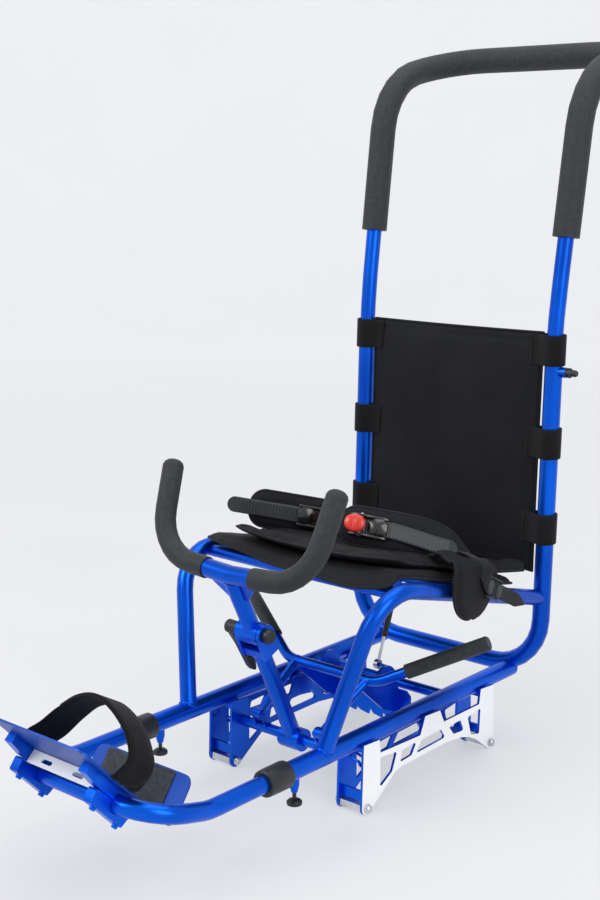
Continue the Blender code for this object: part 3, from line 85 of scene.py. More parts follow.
def add(tree, kind, inputs=None, **settings):
    """New node: settings are its own properties, inputs its sockets by name or number."""
    node = tree.nodes.new("ShaderNode" + kind)
    for name, value in settings.items():
        setattr(node, name, value)
    for key, value in (inputs or {}).items():
        if isinstance(value, bpy.types.NodeSocket):
            tree.links.new(value, node.inputs[key])
        else:
            node.inputs[key].default_value = value
    return node


def blank(name):
    """Empty material with its output node, and the Object coordinates in metres."""
    material = bpy.data.materials.new(name)
    material.use_nodes = True
    tree = material.node_tree
    tree.nodes.clear()
    place = add(tree, "TexCoord").outputs["Object"]
    return material, tree, place


def close(tree, shader):
    add(tree, "OutputMaterial", {"Surface": shader.outputs["BSDF"]})


def speckle(tree, place, scale, low, high, detail=3.0, low_at=0.35, high_at=0.65):
    """Noise that runs between two colours."""
    fleck = add(tree, "TexNoise", {"Vector": place, "Scale": scale, "Detail": detail})
    ramp = add(tree, "ValToRGB", {"Fac": fleck.outputs["Fac"]})
    ramp.color_ramp.elements[0].position = low_at
    ramp.color_ramp.elements[0].color = low
    ramp.color_ramp.elements[1].position = high_at
    ramp.color_ramp.elements[1].color = high
    return ramp.outputs["Color"]


def bumped(tree, height, strength, distance, normal=None):
    inputs = {"Height": height, "Strength": strength, "Distance": distance}
    if normal is not None:
        inputs["Normal"] = normal
    return add(tree, "Bump", inputs).outputs["Normal"]


def scaled_noise(tree, place, scale, detail=2.0, stretch=(1, 1, 1)):
    spread = add(tree, "Mapping", {"Vector": place, "Scale": stretch})
    inputs = {"Vector": spread.outputs["Vector"], "Scale": scale, "Detail": detail}
    return add(tree, "TexNoise", inputs).outputs["Fac"]


def rough_range(tree, factor, low, high):
    return add(tree, "MapRange", {"Value": factor, "To Min": low, "To Max": high}).outputs["Result"]


# %% [markdown]
# Paints: a glossy metallic blue powder coat with a faint orange peel; on the flat foot plate a darker, duller
# copy of that blue, whose darkness is painted shade; and a satin white on the outer bracket plates.

# %% Painted metals


def powder_coat(name, dark, light, roughness, metallic, coat):
    material, tree, place = blank(name)
    tone = speckle(tree, place, 7.0, colour(dark), colour(light), 2.0)
    peel = scaled_noise(tree, place, 420.0)
    grime = scaled_noise(tree, place, 35.0, 4.0)
    shader = add(tree, "BsdfPrincipled", {
        "Base Color": tone, "Metallic": metallic,
        "Roughness": rough_range(tree, grime, roughness - 0.05, roughness + 0.07), "Coat Weight": coat,
        "Coat Roughness": 0.08, "Normal": bumped(tree, peel, 0.12, 0.0003)})
    close(tree, shader)
    return material


BLUE_PAINT = powder_coat("gloss_blue_powder_coat", "#004ABE", "#035FE2", 0.30, 0.88, 0.04)
# darker, duller copy of the blue paint for the foot plate: its darkness is painted shade
SHADED_PLATE_PAINT = powder_coat("blue_plate_coat_with_painted_shade", "#0A3F9A", "#144CAC", 0.42, 0.45, 0.04)
WHITE_PAINT = powder_coat("satin_white_plate", "#E6E8EB", "#F4F5F6", 0.42, 0.0, 0.3)

# %% [markdown]
# Foams, mouldings and metals.

# %% Foams, mouldings and metals


def closed_cell_foam(name, dark, light, roughness):
    material, tree, place = blank(name)
    tone = speckle(tree, place, 160.0, colour(dark), colour(light), 5.0)
    cells = add(tree, "TexVoronoi", {"Vector": place, "Scale": 900.0}).outputs["Distance"]
    shader = add(tree, "BsdfPrincipled", {
        "Base Color": tone, "Roughness": roughness, "Specular IOR Level": 0.30, "Sheen Weight": 0.04,
        "Sheen Roughness": 0.6, "Normal": bumped(tree, cells, 0.35, 0.0006)})
    close(tree, shader)
    return material


def moulding(name, dark, light, roughness, grain, coat=0.0):
    material, tree, place = blank(name)
    tone = speckle(tree, place, 24.0, colour(dark), colour(light))
    pebble = scaled_noise(tree, place, grain, 3.0)
    shader = add(tree, "BsdfPrincipled", {
        "Base Color": tone, "Roughness": rough_range(tree, pebble, roughness - 0.06, roughness + 0.10),
        "Coat Weight": coat, "Coat Roughness": 0.15, "Normal": bumped(tree, pebble, 0.25, 0.0003)})
    close(tree, shader)
    return material


def bright_metal(name, tone, roughness):
    material, tree, place = blank(name)
    brush = scaled_noise(tree, place, 260.0, 4.0, (1, 0.06, 1))
    shader = add(tree, "BsdfPrincipled", {
        "Base Color": speckle(tree, place, 40.0, colour(tone), colour("#DADDE0")), "Metallic": 1.0,
        "Roughness": rough_range(tree, brush, roughness - 0.08, roughness + 0.10),
        "Normal": bumped(tree, brush, 0.15, 0.0002)})
    close(tree, shader)
    return material


GREY_FOAM = closed_cell_foam("dark_grey_closed_cell_foam", "#232527", "#2C2E30", 0.62)
GRIP_RUBBER = closed_cell_foam("grained_grip_rubber", "#35383B", "#43464A", 0.9)
BLACK_PLASTIC = moulding("satin_black_moulding", "#141516", "#1E1F21", 0.42, 500.0)
STRAP_PLASTIC = moulding("flexible_black_strap_plastic", "#1D1F22", "#282B2F", 0.38, 320.0)
GLOSS_BLACK = moulding("gloss_black_moulding", "#0E0F10", "#151618", 0.22, 260.0, 0.5)
RED_PLASTIC = moulding("semi_gloss_red_moulding", "#C2200F", "#D82C1A", 0.30, 380.0, 0.3)
BRIGHT_STEEL = bright_metal("bright_zinc_plated_steel", "#B9BDC2", 0.30)

# %% [markdown]
# Fabrics: woven nylon with a fine grid of threads 0.9 mm apart, ribbed webbing, and hook-and-loop strap.

# %% Fabrics


def threads(tree, place, pitch, axis, distortion=0.4):
    """Bands one thread pitch apart along an axis."""
    return add(tree, "TexWave", {"Vector": place, "Scale": 0.314 / pitch, "Distortion": distortion,
                                 "Detail": 1.0, "Detail Scale": 2.0},
               bands_direction=axis, wave_profile="SIN").outputs["Fac"]


def woven(name, dark, light, pitch, roughness, sheen, strength=0.5, axes=("X", "DIAGONAL")):
    material, tree, place = blank(name)
    tone = speckle(tree, place, 9.0, colour(dark), colour(light), 4.0)
    over = threads(tree, place, pitch, axes[0])
    under = threads(tree, place, pitch, axes[1])
    crossing = add(tree, "Math", {0: over, 1: under}, operation="MAXIMUM").outputs["Value"]
    crease = scaled_noise(tree, place, 45.0, 4.0)
    soft = bumped(tree, crease, 0.25, 0.003)
    shader = add(tree, "BsdfPrincipled", {
        "Base Color": tone, "Roughness": rough_range(tree, crossing, roughness, roughness - 0.12),
        "Specular IOR Level": 0.16, "Sheen Weight": sheen, "Sheen Roughness": 0.45,
        "Normal": bumped(tree, crossing, strength, 0.0004, soft)})
    close(tree, shader)
    return material


PACK_NYLON = woven("black_woven_nylon", "#0F1013", "#16171A", 0.0009, 0.70, 0.02)
BINDING = woven("black_edge_binding_tape", "#131417", "#1D1E21", 0.0013, 0.74, 0.06)
WEBBING = woven("black_ribbed_webbing", "#16171A", "#232428", 0.0016, 0.72, 0.08, 0.8)
HOOK_STRAP = woven("black_hook_and_loop_strap", "#0B0B0D", "#141416", 0.0012, 0.92, 0.08, 0.9)

# %% [markdown]
# The frame's own nodes keep their shape and take these finishes by slot. The heel pad and the outer faces of
# the outer bracket plates have finishes of their own; the foot plate takes a darker copy of the blue paint, a
# painted shade.

# %% Dress the carried-over nodes
FINISH = {
    "blue_paint": BLUE_PAINT,
    "white_paint": WHITE_PAINT,
    "grey_foam": GREY_FOAM,
    "black_nylon": PACK_NYLON,
    "black_plastic": BLACK_PLASTIC,
    "bright_steel": BRIGHT_STEEL,
    "red_plastic": RED_PLASTIC,
    "grip_rubber": GRIP_RUBBER,
}
FACING_OUT = 0.9                # share of a face's normal that points sideways
for entry in frame["record"]["subparts"]:
    node = NODES[entry["node"]]
    node.data.materials.clear()
    node.data.materials.append(FINISH[entry["material_slot"]])
NODES["heel_grip_pad"].data.materials[0] = GRIP_RUBBER
# the foot plate gets the darker copy of the blue paint, a painted shade
NODES["foot_plate"].data.materials[0] = SHADED_PLATE_PAINT
for side, word in ((1, "right"), (-1, "left")):
    plate = NODES[f"bracket_outer_plate_{word}"].data
    plate.materials.append(BLUE_PAINT)
    for face in plate.polygons:
        face.material_index = 0 if face.normal.x * side > FACING_OUT else 1

# %% [markdown]
# Round stretches of the carried-over nodes shade as round: points that coincide are welded by a modifier,
# and only edges above an angle stay sharp.

# %% Smooth shading by angle
SHARP_FROM = 38                 # degrees
WELD_WITHIN = 0.00002


def smooth_by_angle(limit):
    """Node group that shades all faces smooth and keeps the edges above a limit sharp."""
    group = bpy.data.node_groups.new("smooth_by_angle", "GeometryNodeTree")
    group.interface.new_socket("Geometry", in_out="INPUT", socket_type="NodeSocketGeometry")
    group.interface.new_socket("Geometry", in_out="OUTPUT", socket_type="NodeSocketGeometry")
    start = group.nodes.new("NodeGroupInput")
    bend = group.nodes.new("GeometryNodeInputMeshEdgeAngle")
    sharp = group.nodes.new("FunctionNodeCompare")
    sharp.inputs["B"].default_value = math.radians(limit)
    faces = group.nodes.new("GeometryNodeSetShadeSmooth")
    edges = group.nodes.new("GeometryNodeSetShadeSmooth")
    edges.domain = "EDGE"
    edges.inputs["Shade Smooth"].default_value = False
    end = group.nodes.new("NodeGroupOutput")
    group.links.new(start.outputs[0], faces.inputs["Geometry"])
    group.links.new(faces.outputs[0], edges.inputs["Geometry"])
    group.links.new(bend.outputs["Unsigned Angle"], sharp.inputs["A"])
    group.links.new(sharp.outputs["Result"], edges.inputs["Selection"])
    group.links.new(edges.outputs[0], end.inputs[0])
    return group


SMOOTHING = smooth_by_angle(SHARP_FROM)
for node in NODES.values():
    if "custom_normal" in node.data.attributes:
        node.data.attributes.remove(node.data.attributes["custom_normal"])
    weld = node.modifiers.new("weld", "WELD")
    weld.merge_threshold = WELD_WITHIN
    node.modifiers.new("smooth", "NODES").node_group = SMOOTHING
print("smooth shading on", len(NODES), "nodes")

# %% [markdown]
# A plain pale sweep stands behind the sled, and big soft lights stand round it.

# %% Stage and lights
BACKDROP = "#FBFCFF"
FLOOR_GLOW = 0.525              # light of the paper's own near the sled
WALL_GLOW = 0.665               # and at the wall
GLOW_FROM, GLOW_TO = 1.2, 7.0   # distances between which it grows
SWEEP_HALF_WIDTH = 14.0
SWEEP_FRONT = -9.0
SWEEP_BEND = 5.0
SWEEP_RADIUS = 2.0
SWEEP_TOP = 8.0
SWEEP_STEPS = 12


def backdrop_sweep():
    """Floor that curves up into a wall, turned to face the camera."""
    profile = [(SWEEP_FRONT, 0.0), (SWEEP_BEND, 0.0)]
    for step in range(1, SWEEP_STEPS + 1):
        turn = step * math.pi / (2 * SWEEP_STEPS)
        rise = SWEEP_RADIUS - SWEEP_RADIUS * math.cos(turn)
        profile.append((SWEEP_BEND + SWEEP_RADIUS * math.sin(turn), rise))
    profile.append((SWEEP_BEND + SWEEP_RADIUS, SWEEP_TOP))
    mesh = bmesh.new()
    rows = []
    for x in (-SWEEP_HALF_WIDTH, SWEEP_HALF_WIDTH):
        rows.append([mesh.verts.new((x, along, up)) for along, up in profile])
    for i in range(len(profile) - 1):
        mesh.faces.new((rows[0][i], rows[1][i], rows[1][i + 1], rows[0][i + 1]))
    data = bpy.data.meshes.new("backdrop")
    mesh.to_mesh(data)
    mesh.free()
    data.transform(Matrix.Rotation(math.radians(CAMERA_AZIMUTH), 4, "Z"))
    data.shade_smooth()
    sweep = bpy.data.objects.new("backdrop", data)
    bpy.context.scene.collection.objects.link(sweep)
    material, tree, place = blank("pale_studio_paper")
    tone = speckle(tree, place, 2.0, (0.25, 0.25, 0.255, 1), (0.26, 0.26, 0.265, 1))
    distance = add(tree, "VectorMath", {"Vector": place}, operation="LENGTH").outputs["Value"]
    glow = add(tree, "MapRange", {"Value": distance, "From Min": GLOW_FROM, "From Max": GLOW_TO,
                                  "To Min": FLOOR_GLOW, "To Max": WALL_GLOW})
    shader = add(tree, "BsdfPrincipled", {
        "Base Color": tone, "Roughness": 0.65, "Specular IOR Level": 0.2, "Emission Color": colour(BACKDROP),
        "Emission Strength": glow.outputs["Result"]})
    close(tree, shader)
    data.materials.append(material)
    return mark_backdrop(sweep)


def soft_light(name, place, target, size, power):
    """Rectangular lamp that looks at a target."""
    lamp = bpy.data.objects.new(name, bpy.data.lights.new(name, "AREA"))
    lamp.data.shape = "RECTANGLE"
    lamp.data.size, lamp.data.size_y = size
    lamp.data.energy = power
    lamp.location = place
    lamp.rotation_euler = (Vector(target) - Vector(place)).to_track_quat("-Z", "Y").to_euler()
    bpy.context.scene.collection.objects.link(lamp)


backdrop_sweep()
world = bpy.data.worlds.new("studio")
bpy.context.scene.world = world
world.use_nodes = True
world.node_tree.nodes["Background"].inputs["Color"].default_value = colour("#F2F4F7")
world.node_tree.nodes["Background"].inputs["Strength"].default_value = 0.78
soft_light("key", (-1.2, -2.6, 2.6), (0, 0, 0.4), (1.6, 1.6), 52)
soft_light("fill", (2.6, -0.6, 1.8), (0, 0, 0.4), (1.4, 2.0), 30)
soft_light("top", (0.2, 0.4, 3.2), (0, 0, 0.3), (2.4, 2.4), 34)
bpy.context.scene.view_settings.view_transform = "Standard"
print("stage ready")

# %% [markdown]
# The soft goods come next. Their places follow the frame's own sizes, measured from the middle of the ski
# brackets; SLED_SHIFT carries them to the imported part's origin.

# %% Shape helpers
SLED_SHIFT = Vector((0, 0.0634, 0))


def finished(name, mesh, materials, body, replaced=(), levels=0):
    """A mesh becomes a piece of the sled: faces outward, smooth, riding on its body."""
    bmesh.ops.recalc_face_normals(mesh, faces=mesh.faces[:])
    bmesh.ops.translate(mesh, verts=mesh.verts[:], vec=SLED_SHIFT)
    data = bpy.data.meshes.new(name)
    mesh.to_mesh(data)
    mesh.free()
    for material in materials:
        data.materials.append(material)
    data.shade_smooth()
    piece = bpy.data.objects.new(name, data)
    bpy.context.scene.collection.objects.link(piece)
    if levels:
        subdivided(piece, levels)
    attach(piece, body)
    if replaced:
        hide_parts(*replaced)
    return piece


def subdivided(piece, levels):
    """Subdivision surface, applied."""
    step = piece.modifiers.new("subdivide", "SUBSURF")
    step.levels = levels
    step.render_levels = levels
    take_modifiers(piece)


def take_modifiers(piece):
    """The evaluated mesh becomes the piece's own."""
    bpy.context.view_layer.update()
    graph = bpy.context.evaluated_depsgraph_get()
    data = bpy.data.meshes.new_from_object(piece.evaluated_get(graph))
    piece.modifiers.clear()
    piece.data = data
    data.shade_smooth()


def sweep(mesh, line, wide_at, profile_at, kind=0, closed=False):
    """Closed skin round a line: wide_at gives the width direction, profile_at the cross-section."""
    rings = []
    count = len(line)
    for index, point in enumerate(line):
        if closed:
            tangent = (line[(index + 1) % count] - line[index - 1]).normalized()
        else:
            tangent = (line[min(index + 1, count - 1)] - line[max(index - 1, 0)]).normalized()
        wide = wide_at(index)
        wide = (wide - tangent * wide.dot(tangent)).normalized()
        out = tangent.cross(wide).normalized()
        rings.append([mesh.verts.new(point + wide * w + out * t) for w, t in profile_at(index)])
    pairs = list(zip(rings, rings[1:] + rings[:1])) if closed else list(zip(rings, rings[1:]))
    size = len(rings[0])
    for ring, other in pairs:
        for i in range(size):
            j = (i + 1) % size
            mesh.faces.new((ring[i], ring[j], other[j], other[i])).material_index = kind
    if not closed:
        mesh.faces.new(rings[0][::-1]).material_index = kind
        mesh.faces.new(rings[-1]).material_index = kind


def flat_profile(width, thick, corner=0.0007):
    """Cross-section of a strap with softened corners."""
    w, t = width / 2, thick / 2
    stations = [-w + corner, -w / 2, 0, w / 2, w - corner]
    lower = [(-w, -t + corner)] + [(at, -t) for at in stations] + [(w, -t + corner)]
    upper = [(w, t - corner)] + [(at, t) for at in reversed(stations)] + [(-w, t - corner)]
    return lower + upper


def round_profile(radius, sides=12):
    return [(radius * math.cos(2 * math.pi * k / sides), radius * math.sin(2 * math.pi * k / sides))
            for k in range(sides)]


def curve_through(points, per_span=8):
    """Smooth line through points, by a Catmull-Rom spline."""
    points = [Vector(p) for p in points]
    ends = [points[0] * 2 - points[1]] + points + [points[-1] * 2 - points[-2]]
    line = []
    for a, b, c, d in zip(ends, ends[1:], ends[2:], ends[3:]):
        for k in range(per_span):
            t = k / per_span
            line.append(0.5 * ((2 * b) + (c - a) * t + (2 * a - 5 * b + 4 * c - d) * t * t
                               + (3 * b - a - 3 * c + d) * t ** 3))
    return line + [points[-1]]


def spaced(line, step):
    """The same line with points one step apart."""
    points = [line[0].copy()]
    left = step
    for a, b in zip(line, line[1:]):
        span = (b - a).length
        while left <= span:
            points.append(a.lerp(b, left / span))
            left += step
        left -= span
    return points


def placed(origin, a_axis, b_axis):
    """Matrix whose local axes are a, b and their normal."""
    a = Vector(a_axis).normalized()
    b = Vector(b_axis)
    b = (b - a * b.dot(a)).normalized()
    return Matrix.Translation(Vector(origin)) @ Matrix((a, b, a.cross(b))).transposed().to_4x4()


def word_of(side):
    """Name of a side: +X is the right."""
    return "right" if side == 1 else "left"


def step_up(value, start, end):
    """Smooth rise from 0 to 1 between two values."""
    share = min(1.0, max(0.0, (value - start) / (end - start)))
    return share * share * (3 - 2 * share)


print("shape helpers ready")

# %% [markdown]
# A cushion is a closed skin with a piped seam round its middle. Its top is crowned, its sides draw in between
# the corners, and cloth simulation under a little pressure gives it wrinkles.

# %% Cushion helper
PIPING_RADIUS = 0.0019
CLOTH_FRAMES = 18


def cushion(name, node, place, half_a, half_b, thick, seam, cells, shaped, pressure, draw, growth, cap,
            under=0.0, corner=0.0):
    """Piped nylon cushion on a plane, in place of a soft node.

    seam is the height of the piping over the plane, draw the share by which the sides are drawn in,
    shaped a function that bends the flat form, and cap the furthest that the cloth may move a point.
    """
    mesh = bmesh.new()
    rim = {}
    rows = []
    for level in (1, 0):
        row_set = []
        for i in range(cells + 1):
            row = []
            for j in range(cells + 1):
                u = math.sin((-1 + 2 * i / cells) * math.pi / 2)
                v = math.sin((-1 + 2 * j / cells) * math.pi / 2)
                at_rim = i in (0, cells) or j in (0, cells)
                if at_rim and (i, j) in rim:
                    row.append(rim[i, j])
                    continue
                rounding = corner * (u * v) ** 8
                pull_a = 1 - draw * (1 - v * v) - rounding
                pull_b = 1 - draw * (1 - u * u) - rounding
                full = ((1 - u ** 10) * (1 - v ** 10)) ** 0.36
                height = seam + (thick - seam) * full if level else seam - (seam - under) * full
                point = shaped(Vector((half_a * u * pull_a, half_b * v * pull_b, height)))
                vertex = mesh.verts.new(place @ point)
                if at_rim:
                    rim[i, j] = vertex
                row.append(vertex)
            row_set.append(row)
        rows.append(row_set)
    for level, row_set in enumerate(rows):
        for i in range(cells):
            for j in range(cells):
                ring = (row_set[i][j], row_set[i + 1][j], row_set[i + 1][j + 1], row_set[i][j + 1])
                mesh.faces.new(ring if level == 0 else ring[::-1])
    order = [(i, 0) for i in range(cells)] + [(cells, j) for j in range(cells)]
    order += [(i, cells) for i in range(cells, 0, -1)] + [(0, j) for j in range(cells, 0, -1)]
    border = [rim[key].co.copy() for key in order]
    mesh.verts.index_update()
    held = [rim[key].index for key in order]
    held += [row[j].index for row in rows[1] for j in range(cells + 1)]
    piece = finished(name, mesh, [PACK_NYLON, BINDING], "frame", [node])
    puffed(piece, sorted(set(held)), pressure, growth, cap)
    subdivided(piece, 1)
    normal = place.to_3x3() @ Vector((0, 0, 1))
    pipe = bmesh.new()
    sweep(pipe, border, lambda index: normal, lambda index: round_profile(PIPING_RADIUS, 8), closed=True)
    finished(name + "_piping", pipe, [BINDING], "frame")
    print(name, len(piece.data.vertices), "points")


def puffed(piece, held, pressure, growth, cap):
    """Cloth simulation under pressure, its result taken over with each point's move capped."""
    group = piece.vertex_groups.new(name="held")
    group.add(held, 1.0, "REPLACE")
    start = [vertex.co.copy() for vertex in piece.data.vertices]
    cloth = piece.modifiers.new("puff", "CLOTH")
    settings = cloth.settings
    settings.quality = 4
    settings.mass = 0.2
    settings.tension_stiffness = 12
    settings.compression_stiffness = 12
    settings.bending_stiffness = 0.3
    settings.use_pressure = True
    settings.uniform_pressure_force = pressure
    settings.shrink_min = -growth
    settings.vertex_group_mass = "held"
    settings.effector_weights.gravity = 0
    cloth.collision_settings.use_collision = False
    scene = bpy.context.scene
    for step in range(1, CLOTH_FRAMES + 1):
        scene.frame_set(step)
    graph = bpy.context.evaluated_depsgraph_get()
    moved = [vertex.co.copy() for vertex in piece.evaluated_get(graph).data.vertices]
    piece.modifiers.clear()
    scene.frame_set(1)
    for vertex, before, after in zip(piece.data.vertices, start, moved):
        change = after - before
        vertex.co = before + change * min(1.0, cap / max(change.length, 1e-9))
    piece.vertex_groups.clear()


# %% [markdown]
# The seat: a base pad on the side tubes, which sinks between them onto the front cross tube and hangs down in
# front of it, and a wrinkled cushion on the pad.

# %% Seat pads
SEAT_CORNER = (0.189, -0.177, 0.345)        # front bend of a side tube
SEAT_SLOPE = (0.232 - SEAT_CORNER[2]) / (0.249 - SEAT_CORNER[1])
SEAT_TUBE = 0.025
BASE_PAD = 0.012
SEAT_CUSHION = 0.014
SEAT_GAP = 0.0003               # between a tube and the pad on it
LIFT = 0.0006                   # two such gaps, under the pad and under the cushion
BASE_HALF_WIDTH = 0.175
BASE_HALF_LENGTH = 0.188
CUSHION_HALF_WIDTH = 0.157
CUSHION_HALF_LENGTH = 0.174
SINK = 0.0115                   # of the pads between the side tubes
FRONT_HANG = 0.0135             # of the base pad in front of the cross tube
FRONT_ROLL = 0.0055             # rise of the cushion's front edge
WRINKLE = 0.0030
FOLD = 0.0034
FOLD_SPREAD = 0.010
# Each fold: the place of its middle, its slant and its share of the full height.
FOLDS = ((-0.150, 0.10, 1.0), (-0.112, -0.16, 0.8), (-0.06, 0.22, 0.6), (0.03, -0.12, 0.4))


def seat_height(y):
    """Height of the seat cushion's top at a distance along the sled."""
    stack = SEAT_TUBE / 2 + BASE_PAD + SEAT_CUSHION + LIFT
    return SEAT_CORNER[2] + SEAT_SLOPE * (y - SEAT_CORNER[1]) + stack / math.cos(math.atan(SEAT_SLOPE))


def seat_plane(y, lift):
    """Plane along the side tubes' tops: a across, b back down the slope."""
    slope = math.atan(SEAT_SLOPE)
    back = Vector((0, math.cos(slope), math.sin(slope)))
    normal = Vector((0, -back.z, back.y))
    base = Vector((0, y, SEAT_CORNER[2] + SEAT_SLOPE * (y - SEAT_CORNER[1])))
    return placed(base + normal * (SEAT_TUBE / 2 + SEAT_GAP + lift), (1, 0, 0), back)


def sag(x, y):
    """How far the pads sink between the side tubes until the front cross tube carries them."""
    ahead = min(1.0, max(0.0, (-y - 0.02) / 0.13))
    return SINK * max(0.0, 1 - (x / 0.175) ** 2) * ahead * ahead * (3 - 2 * ahead)


def seat_folds(point):
    """The cushion: wrinkles, soft folds across, a rolled front edge, its right rear corner curled up."""
    wave = noise.noise(Vector((point.x * 9, point.y * 26, 0.3))) * WRINKLE
    ridge = 0.0
    for middle, slant, share in FOLDS:
        gap = point.y - middle - slant * point.x
        ridge += share * math.exp(-(gap / FOLD_SPREAD) ** 2)
    wave += ridge * FOLD
    edge = (1 - abs(point.x) / 0.17) * (1 - abs(point.y) / 0.176)
    if point.z > 0.006:
        point.z += wave * min(1.0, max(edge, 0.0) * 14)
    point.z += FRONT_ROLL * step_up(-point.y, 0.10, 0.16) - sag(point.x, point.y)
    curl = step_up(point.x, 0.08, 0.15) * step_up(point.y, 0.08, 0.16)
    point.z += curl * (0.0160 if point.z > 0.008 else 0.0060)
    point.x *= 1 + 0.08 * point.y / CUSHION_HALF_LENGTH + 0.04 * curl
    return point


def base_droop(point):
    """The base pad: its front hangs, more so on the right, and its back is a little narrower."""
    hang = max(0.0, (-point.y - 0.160) / 0.028)
    slump = 0.85 + 0.75 * point.x / 0.17
    point.z -= FRONT_HANG * hang ** 1.3 * slump + sag(point.x, point.y)
    point.z += 0.0016 * hang * math.sin(point.x * 46.0)
    point.x *= 1 - 0.03 * point.y / BASE_HALF_LENGTH - 0.09 * step_up(point.y, 0.08, BASE_HALF_LENGTH)
    return point


cushion("seat_base_cover", "seat_base_pad", seat_plane(0.0320, 0.0), BASE_HALF_WIDTH, BASE_HALF_LENGTH,
        thick=BASE_PAD + 0.001, seam=0.0026, cells=40, shaped=base_droop, pressure=1.2,
        draw=0.010, growth=0.015, cap=0.0018, under=0.0008, corner=0.04)
cushion("seat_cushion_cover", "seat_cushion", seat_plane(0.0400, BASE_PAD + 0.0016), CUSHION_HALF_WIDTH,
        CUSHION_HALF_LENGTH, thick=SEAT_CUSHION, seam=0.0065, cells=44, shaped=seat_folds, pressure=2.5,
        draw=0.014, growth=0.035, cap=0.004, corner=0.04)

# %% [markdown]
# The back: a thin panel with a piped edge, held on the posts by six sewn hook-and-loop bands.

# %% Back panel and its bands
POST_X = 0.182
POST_RADIUS = 0.014
POST_LEAN = 0.031
BACK_BOTTOM, BACK_TOP = 0.276, 0.650
BACK_HALF_WIDTH = 0.163
HEM = 0.014                     # width of the sewn hem
HEM_HALF_WIDTH = 0.0035         # of its groove
BAND_TOPS = (0.6485, 0.504, 0.369)
BAND_TALL = 0.048
BAND_THICK = 0.0026
BAND_REACH = 0.020              # of a band's ends over the panel
BAND_APART = 0.0075             # of a band's two ends from the post's middle
BAND_STANDS = 0.0024            # between the post's face and the middle of the band


def post_y(z):
    return 0.240 + POST_LEAN * z


def back_shape(point):
    """A hem all round, faint waves, and slack at the lower edge."""
    inset = min(BACK_HALF_WIDTH - abs(point.x), 0.187 - abs(point.y))
    if point.z > 0.010:
        point.z -= 0.0016 * math.exp(-((inset - HEM) / HEM_HALF_WIDTH) ** 2)
        point.z += 0.0010 * noise.noise(Vector((point.x * 14, point.y * 10, 1.7)))
    low = max(0.0, (-point.y - 0.13) / 0.057)
    point.y -= 0.004 * low * math.sin((point.x + 0.05) * 21.0) ** 2
    return point


middle_z = (BACK_BOTTOM + BACK_TOP) / 2
back_plane = placed((0, post_y(middle_z) + 0.008, middle_z), (1, 0, 0), (0, POST_LEAN, 1))
cushion("back_panel_cover", "back_cushion", back_plane, BACK_HALF_WIDTH, (BACK_TOP - BACK_BOTTOM) / 2,
        thick=0.0195, seam=0.010, cells=48, shaped=back_shape, pressure=2.0, draw=0.006,
        growth=0.012, cap=0.003)


def post_band(side, top):
    """Band from the panel's edge round a post and back to the panel."""
    z = top - BAND_TALL / 2
    centre = Vector((side * POST_X, post_y(z), z))
    radius = POST_RADIUS + BAND_STANDS
    loop = []
    for degrees in range(-110, 111, 11):
        t = math.radians(degrees)
        loop.append(centre + Vector((side * radius * math.cos(t), radius * math.sin(t),
                                     POST_LEAN * radius * math.sin(t))))
    reach = POST_X - BACK_HALF_WIDTH + BAND_REACH
    front = centre + Vector((-side * reach, -BAND_APART, 0))
    behind = centre + Vector((-side * reach, BAND_APART, 0))
    line = [front, front + Vector((side * 0.014, -0.0004, 0))] + loop
    line += [behind - Vector((-side * 0.014, 0, 0)), behind]
    line = spaced(curve_through(line, 3), 0.0025)
    mesh = bmesh.new()
    up = Vector((0, POST_LEAN, 1)).normalized()
    sweep(mesh, line, lambda index: up, lambda index: flat_profile(BAND_TALL - 0.001, BAND_THICK))
    finished(f"post_band_{word_of(side)}_{round(top * 1000)}", mesh, [HOOK_STRAP], "frame")


for side in (1, -1):
    for top in BAND_TOPS:
        post_band(side, top)
print("six post bands")

# %% [markdown]
# Hip pads stand on edge on the seat. The right one turns over the side tube and ends in a wide hanging lobe.
# Each carries a ribbed ladder strap and a ratchet with a red lever.

# %% Hip pads
PAD_THICK = 0.011
PAD_WIDTH = {1: 0.058, -1: 0.056}
LOBE_EXTRA = 0.038              # width that the right pad gains in its lobe
LOBE_FROM, LOBE_FULL = 0.6, 0.8     # shares of the pad's length between which it gains it
PAD_OUTSIDE = POST_X + 0.0262   # the lobe hangs here, beside the side tube
BELT_SPOT = {1: (0.058, -0.010), -1: (-0.100, -0.020)}
BELT_LIFT = {1: 0.0308, -1: 0.0296}
BELT_ALONG = {1: Vector((0.85, 0.50, -0.1327)).normalized(), -1: Vector((0.72, 0.69, -0.1831)).normalized()}
PAD_UPRIGHT = {1: Vector((-0.15, 0.45, 1.0)), -1: Vector((0.15, 0.35, 1.0))}
PAD_FLAT = Vector((0, 0.9666, -0.2563))
PAD_HANGING = Vector((0, 1.0, 0.12))
PAD_LEANS = {1: (0.0, 0.0, 0.0, 0.3, 0.7, 1.0, 1.3, 1.8, 2.0), -1: (0.0,) * 5}
PER_SPAN = 16


def leaning(side, share):
    """Width direction of a pad: upright at 0, flat on the seat at 1, hanging beside it at 2."""
    if share > 1:
        return PAD_FLAT.lerp(PAD_HANGING, share - 1).normalized()
    return PAD_UPRIGHT[side].lerp(PAD_FLAT, share).normalized()


def belt_frame(side):
    """Origin and axes on a hip pad's middle: along the strap, up its width, out of its face."""
    origin = Vector((*BELT_SPOT[side], 0))
    along = BELT_ALONG[side]
    up = leaning(side, 0.0)
    up = (up - along * up.dot(along)).normalized()
    origin.z = seat_height(origin.y) + BELT_LIFT[side]
    return origin, along, up, along.cross(up).normalized()


